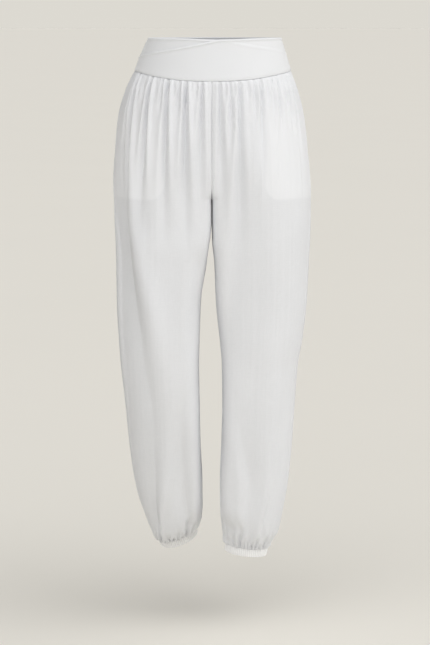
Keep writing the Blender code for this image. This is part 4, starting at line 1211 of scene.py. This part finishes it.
def build_cuffs(cuff):
    # The ribs' valleys get a darker colour: painted shade, on top of the ribs' own relief.
    painted_rib_shade = [RIB_PAINTED_SHADE * c for c in cuff.colour]
    finish = cloth_finish("ribbed_knit", "rib", cuff.colour, painted_rib_shade)
    share, extra, depth = hem_profile(CUFF_ROWS, CUFF_WALL)
    along = CUFF_HEIGHT * share + extra
    turn = np.linspace(0, 2 * math.pi, cuff.ribs * RIB_COLUMNS, endpoint=False)
    ridge = np.abs(np.cos(turn * cuff.ribs / 2))
    uneven = CUFF_UNEVEN * sum(np.sin(count * turn + start) for count, start in CUFF_WAVES) / len(CUFF_WAVES)
    swell = CUFF_SWELL * (np.sin(math.pi * share) - share)
    ribs = np.where(depth < CUFF_WALL / 2, cuff.rib_rise * ridge[:, None], 0)
    more = swell - depth + ribs + uneven[:, None]
    columns, around = more.shape
    for side, sign in SIDES:
        drop = last_drop(side)
        form = {name: float(value) for name, value in form_at(side, np.array(drop)).items()}
        roll, pitch = math.tan(math.radians(form["roll"])), math.tan(math.radians(form["pitch"]))
        wide, deep = (form["outer"] - form["inner"]) / 2, (form["back"] - form["front"]) / 2
        x = -(wide + more) * np.cos(turn)[:, None]
        y = -(deep + more) * np.sin(turn)[:, None]
        centre = np.array([form["inner"] + wide, form["front"] + deep, BAND_MIDDLE - drop])
        down = np.array([-roll, pitch, -1.0])
        points = centre + np.stack([x, y, pitch * y - roll * x], axis=2)
        points += down / np.linalg.norm(down) * along[None, :, None]
        points[:, :, 0] *= sign
        across = turn / 2 * (wide + deep)
        uv = np.stack([np.repeat(across, around), -np.tile(along, columns)], axis=1)
        piece = plain_mesh(f"{side}_cuff_rib", points.reshape(-1, 3), round_faces(columns, around, True), uv)
        # painted shade: the "patch" attribute is 1 in a rib's valley and 0 on its crest
        paint(piece, "patch", np.repeat(1 - ridge, around))
        give(piece, finish, f"cuff_{side}")


def stitch_lines():
    """Points along each sewn line, on the cloth or the waistband it is sewn through."""
    lines = []
    for side, sign in SIDES:
        front = Quarter(side, "front", sign)
        drop = np.arange(*CENTRE_LINE, LINE_STEP)
        grain = front.inner_at(drop) + CENTRE_STITCH / front.width_at(drop)
        lines.append(front.surface(drop, grain, -THREAD_OUT)[0])
        drop = np.arange(*MOUTH, LINE_STEP)
        lines.append(front.surface(drop, 1 - MOUTH_STITCH / front.width_at(drop), -THREAD_OUT)[0])
        for panel in ("front", "back"):
            grain = np.linspace(0, 1, round(BAND_ACROSS / LINE_STEP))[1:-1]
            points, normal = bare_with_normals(side, panel, seam_drop(panel, grain) - BAND_STITCH, grain)
            points += normal * (BAND_OVER + THREAD_OUT)
            points[:, 0] *= sign
            lines.append(points)
    return lines


def stitch_tree(thread):
    """Nodes that turn lines into rows of short, round threads, and the values of their inputs."""
    made = bpy.data.node_groups.new("stitch_rows", "GeometryNodeTree")
    face = made.interface
    face.new_socket("Lines", in_out="INPUT", socket_type="NodeSocketGeometry")
    wanted = {"Pitch": thread.pitch, "Length": thread.length, "Width": thread.width}
    for name, value in wanted.items():
        face.new_socket(name, in_out="INPUT", socket_type="NodeSocketFloat").default_value = value
    face.new_socket("Stitches", in_out="OUTPUT", socket_type="NodeSocketGeometry")
    tree = Tree(made)
    start = tree.add("NodeGroupInput").outputs
    curve = tree.add("GeometryNodeMeshToCurve", {"Mesh": start["Lines"]}).outputs[0]
    even = tree.add("GeometryNodeResampleCurve", {"Curve": curve, "Length": start["Pitch"]}, mode="LENGTH")
    spots = tree.add("GeometryNodeCurveToPoints", {"Curve": even.outputs[0]}, mode="EVALUATED").outputs
    form = {"Segments": THREAD_SIDES, "Rings": THREAD_RINGS, "Radius": 0.5}
    ball = tree.add("GeometryNodeMeshUVSphere", form).outputs[0]
    sizes = {0: start["Width"], 1: start["Width"], 2: start["Length"]}
    placed = tree.add("GeometryNodeInstanceOnPoints", {
        "Points": spots["Points"], "Instance": ball, "Rotation": spots["Rotation"],
        "Scale": tree.add("ShaderNodeCombineXYZ", sizes).outputs[0],
    })
    whole = tree.add("GeometryNodeRealizeInstances", {0: placed.outputs[0]}).outputs[0]
    smooth = tree.add("GeometryNodeSetShadeSmooth", {0: whole}).outputs[0]
    finish = cloth_finish("sewing_thread", "thread", thread.colour)
    coloured = tree.add("GeometryNodeSetMaterial", {"Geometry": smooth, "Material": finish}).outputs[0]
    tree.add("NodeGroupOutput", {0: coloured})
    return made, wanted


def build_stitches(thread):
    points, edges = [], []
    for line in stitch_lines():
        edges += [(len(points) + i, len(points) + i + 1) for i in range(len(line) - 1)]
        points += line.tolist()
    data = bpy.data.meshes.new("sewn_lines")
    data.from_pydata(points, edges, [])
    carrier = added("sewn_lines", data)
    group, wanted = stitch_tree(thread)
    modifier = carrier.modifiers.new("stitch_rows", "NODES")
    modifier.node_group = group
    for item in group.interface.items_tree:
        if item.name in wanted:
            modifier[item.identifier] = wanted[item.name]
    evaluated = carrier.evaluated_get(bpy.context.evaluated_depsgraph_get())
    mesh = bpy.data.meshes.new_from_object(evaluated)
    mesh.name = "seam_stitches"
    bpy.data.objects.remove(carrier)
    piece = added("seam_stitches", mesh)
    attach(piece, BODY)


def build_stage(stage):
    floor = stage_floor(stage)
    world = bpy.data.worlds.new("studio")
    bpy.context.scene.world = world
    world.use_nodes = True
    tree = Tree(world.node_tree)
    background = world.node_tree.nodes["Background"]
    direction = tree.add("ShaderNodeTexCoord").outputs["Generated"]
    split = tree.add("ShaderNodeSeparateXYZ", {0: direction})
    turn = math.radians(stage.bright_side)
    sideways = tree.math("MULTIPLY", split.outputs[0], math.sin(turn))
    forwards = tree.math("MULTIPLY", split.outputs[1], -math.cos(turn))
    reach = {
        "Value": tree.math("ADD", sideways, forwards), "From Min": SKY_REACH[0], "From Max": SKY_REACH[1],
        "To Min": stage.dim, "To Max": stage.sky,
    }
    sides = tree.add("ShaderNodeMapRange", reach, interpolation_type="SMOOTHSTEP").outputs[0]
    above = tree.math("MULTIPLY", tree.math("MAXIMUM", split.outputs[2]), stage.zenith)
    strength = tree.math("MULTIPLY", sides, tree.math("ADD", above, 1))
    seen = tree.add("ShaderNodeLightPath").outputs["Is Camera Ray"]
    lit = tree.blend(seen, [1, 1, 1, 1], [*stage.backdrop, 1])
    level = tree.add("ShaderNodeMix", {"Factor": seen}, data_type="FLOAT")
    world.node_tree.links.new(strength, level.inputs[2])
    level.inputs[3].default_value = 1.0
    world.node_tree.links.new(lit, background.inputs["Color"])
    world.node_tree.links.new(level.outputs[0], background.inputs["Strength"])

    lamp = bpy.data.lights.new("overhead", "SUN")
    lamp.energy = stage.overhead
    lamp.angle = math.radians(stage.softness)
    leans = (math.radians(stage.lean_front), math.radians(stage.lean_side), 0)
    added("overhead", lamp).rotation_euler = leans

    view = bpy.data.cameras.new("camera")
    view.sensor_fit = "VERTICAL"
    view.sensor_width = SENSOR
    view.sensor_height = SENSOR
    view.lens = SENSOR * FOCAL_ROWS / IMAGE_ROWS
    view.clip_end = 2 * FLOOR_RADIUS
    camera = added("camera", view)
    camera.location = CAMERA_PLACE
    camera.rotation_euler = (math.radians(90 - CAMERA_TILT), 0, 0)
    bpy.context.scene.camera = camera
    bpy.context.scene.view_settings.view_transform = "Standard"


def stage_floor(stage):
    data = bpy.data.meshes.new("floor")
    turn = np.linspace(0, 2 * math.pi, FLOOR_SIDES, endpoint=False)
    rim = [(FLOOR_RADIUS * math.cos(t), FLOOR_RADIUS * math.sin(t), -stage.floor_drop) for t in turn]
    data.from_pydata(rim, [], [tuple(range(len(rim)))])
    material, tree, shader = principled("backdrop_paper", {"Roughness": 0.95, "Specular IOR Level": 0.1})
    place = tree.add("ShaderNodeTexCoord").outputs["Object"]
    settings = {"Vector": place, "Scale": FLOOR_CLOUD, "Detail": CLOUD_DETAIL}
    cloud = tree.add("ShaderNodeTexNoise", settings).outputs[0]
    darker = [*[c * FLOOR_TONE for c in stage.floor_colour], 1]
    colour = tree.blend(cloud, darker, [*stage.floor_colour, 1])
    material.node_tree.links.new(colour, shader.inputs["Base Color"])
    data.materials.append(material)
    return added("floor", data)


class PantsCloth(bpy.types.PropertyGroup):
    colour: bpy.props.FloatVectorProperty(
        name="Cloth colour", description="Colour of the gathered cloth", subtype="COLOR", size=3,
        default=(0.798, 0.806, 0.827), min=0, max=1,
    )
    patch_colour: bpy.props.FloatVectorProperty(
        name="Lined colour", description="Colour where a pocket bag lies behind the cloth",
        subtype="COLOR", size=3, default=(0.840, 0.847, 0.866), min=0, max=1,
    )
    thickness: bpy.props.FloatProperty(
        name="Cloth thickness", description="Thickness of the gathered cloth", unit="LENGTH",
        default=0.0007, min=0.0003, max=0.002,
    )


class PantsBand(bpy.types.PropertyGroup):
    colour: bpy.props.FloatVectorProperty(
        name="Band colour", description="Colour of the waistband", subtype="COLOR", size=3,
        default=(0.800, 0.808, 0.824), min=0, max=1,
    )
    seam_dip: bpy.props.FloatProperty(
        name="Seam dip", description="How far the band is drawn in at its seams", unit="LENGTH",
        default=0.0006, min=0, max=0.002,
    )
    edge_bead: bpy.props.FloatProperty(
        name="Edge bead", description="How far a wrap's folded edge stands up", unit="LENGTH",
        default=0.0012, min=0, max=0.002,
    )
    wrap_sink: bpy.props.FloatProperty(
        name="Wrap sink", description="How far the over wrap sinks where nothing lies under it",
        unit="LENGTH", default=0.0004, min=0, max=0.001,
    )


class PantsCuff(bpy.types.PropertyGroup):
    colour: bpy.props.FloatVectorProperty(
        name="Cuff colour", description="Colour of the cuffs", subtype="COLOR", size=3,
        default=(0.955, 0.955, 0.955), min=0, max=1,
    )
    ribs: bpy.props.IntProperty(
        name="Ribs", description="Ribs round a cuff", default=64, min=16, max=120,
    )
    rib_rise: bpy.props.FloatProperty(
        name="Rib height", description="How far a rib stands out", unit="LENGTH",
        default=0.0012, min=0, max=0.002,
    )


class PantsThread(bpy.types.PropertyGroup):
    colour: bpy.props.FloatVectorProperty(
        name="Thread colour", description="Colour of the sewing thread", subtype="COLOR", size=3,
        default=(0.86, 0.865, 0.875), min=0, max=1,
    )
    pitch: bpy.props.FloatProperty(
        name="Stitch pitch", description="From one stitch to the next", unit="LENGTH", default=0.0028,
        min=0.0015, max=0.01,
    )
    length: bpy.props.FloatProperty(
        name="Stitch length", description="Length of the thread that shows", unit="LENGTH", default=0.0023,
        min=0.001, max=0.01,
    )
    width: bpy.props.FloatProperty(
        name="Thread width", description="Thickness of the thread", unit="LENGTH", default=0.0004,
        min=0.0002, max=0.001,
    )


class PantsStage(bpy.types.PropertyGroup):
    floor_drop: bpy.props.FloatProperty(
        name="Floor", description="How far the floor lies below the origin", unit="LENGTH",
        default=1.12, min=1.0, max=2.0,
    )
    floor_colour: bpy.props.FloatVectorProperty(
        name="Floor colour", description="Colour of the floor", subtype="COLOR", size=3,
        default=(0.865, 0.835, 0.766), min=0, max=1,
    )
    backdrop: bpy.props.FloatVectorProperty(
        name="Backdrop", description="Colour seen above the floor", subtype="COLOR", size=3,
        default=(0.718, 0.696, 0.640), min=0, max=1,
    )
    sky: bpy.props.FloatProperty(
        name="Sky", description="Strength of the sky on its bright side", default=0.57, min=0,
    )
    dim: bpy.props.FloatProperty(
        name="Dim side", description="Strength of the sky on its dim side", default=0.05, min=0,
    )
    zenith: bpy.props.FloatProperty(
        name="Zenith", description="Share that the sky gains straight above", default=2.3, min=0,
    )
    bright_side: bpy.props.FloatProperty(
        name="Bright side", description="Degrees from the front to the wearer's left", default=28,
    )
    overhead: bpy.props.FloatProperty(name="Overhead", description="Light from above", default=0.32, min=0)
    softness: bpy.props.FloatProperty(
        name="Softness", description="Angle that the overhead light fills, in degrees", default=40, min=1,
        max=90,
    )
    lean_front: bpy.props.FloatProperty(
        name="Lean to the front", description="Degrees that the overhead light leans forward", default=20,
    )
    lean_side: bpy.props.FloatProperty(
        name="Lean to the side", description="Degrees that it leans to the wearer's left", default=36,
    )


class PANTS_OT_panels(bpy.types.Operator):
    """Adds the fronts and backs of both legs"""

    bl_idname = "pants.panels"
    bl_label = "Legs"

    def execute(self, context):
        build_panels(context.scene.pants_cloth)
        return {"FINISHED"}


class PANTS_OT_pocket_bags(bpy.types.Operator):
    """Adds the pocket bags inside the fronts"""

    bl_idname = "pants.pocket_bags"
    bl_label = "Pocket bags"

    def execute(self, context):
        build_pocket_bags(context.scene.pants_cloth)
        return {"FINISHED"}


class PANTS_OT_waistband(bpy.types.Operator):
    """Adds the crossed waistband"""

    bl_idname = "pants.waistband"
    bl_label = "Waistband"

    def execute(self, context):
        build_waistband(context.scene.pants_band)
        return {"FINISHED"}


class PANTS_OT_cuffs(bpy.types.Operator):
    """Adds the ribbed cuffs"""

    bl_idname = "pants.cuffs"
    bl_label = "Cuffs"

    def execute(self, context):
        build_cuffs(context.scene.pants_cuff)
        return {"FINISHED"}


class PANTS_OT_stitches(bpy.types.Operator):
    """Adds the rows of stitches"""

    bl_idname = "pants.stitches"
    bl_label = "Stitches"

    def execute(self, context):
        build_stitches(context.scene.pants_thread)
        return {"FINISHED"}


class PANTS_OT_stage(bpy.types.Operator):
    """Adds the floor, the light and the camera"""

    bl_idname = "pants.stage"
    bl_label = "Stage"

    def execute(self, context):
        build_stage(context.scene.pants_stage)
        return {"FINISHED"}


class PANTS_PT_sidebar(bpy.types.Panel):
    """Sizes, colours and pieces of the pants"""

    bl_idname = "PANTS_PT_sidebar"
    bl_label = "Yoga Pants"
    bl_space_type = "VIEW_3D"
    bl_region_type = "UI"
    bl_category = "Pants"

    def draw(self, context):
        groups = (
            (context.scene.pants_cloth, (PANTS_OT_panels, PANTS_OT_pocket_bags)),
            (context.scene.pants_band, (PANTS_OT_waistband,)),
            (context.scene.pants_cuff, (PANTS_OT_cuffs,)),
            (context.scene.pants_thread, (PANTS_OT_stitches,)),
            (context.scene.pants_stage, (PANTS_OT_stage,)),
        )
        for group, operators in groups:
            box = self.layout.box()
            for name in type(group).__annotations__:
                box.prop(group, name)
            for operator in operators:
                box.operator(operator.bl_idname)


GROUPS = {
    "pants_cloth": PantsCloth,
    "pants_band": PantsBand,
    "pants_cuff": PantsCuff,
    "pants_thread": PantsThread,
    "pants_stage": PantsStage,
}
OPERATORS = (
    PANTS_OT_panels, PANTS_OT_pocket_bags, PANTS_OT_waistband, PANTS_OT_cuffs, PANTS_OT_stitches,
    PANTS_OT_stage,
)


def register():
    for name, group in GROUPS.items():
        bpy.utils.register_class(group)
        setattr(bpy.types.Scene, name, bpy.props.PointerProperty(type=group))
    for operator in OPERATORS:
        bpy.utils.register_class(operator)
    bpy.utils.register_class(PANTS_PT_sidebar)


def unregister():
    bpy.utils.unregister_class(PANTS_PT_sidebar)
    for operator in reversed(OPERATORS):
        bpy.utils.unregister_class(operator)
    for name, group in reversed(GROUPS.items()):
        delattr(bpy.types.Scene, name)
        bpy.utils.unregister_class(group)


def main():
    register()
    bpy.ops.pants.panels()
    bpy.ops.pants.pocket_bags()
    bpy.ops.pants.waistband()
    bpy.ops.pants.cuffs()
    bpy.ops.pants.stitches()
    bpy.ops.pants.stage()


if __name__ == "__main__":
    main()
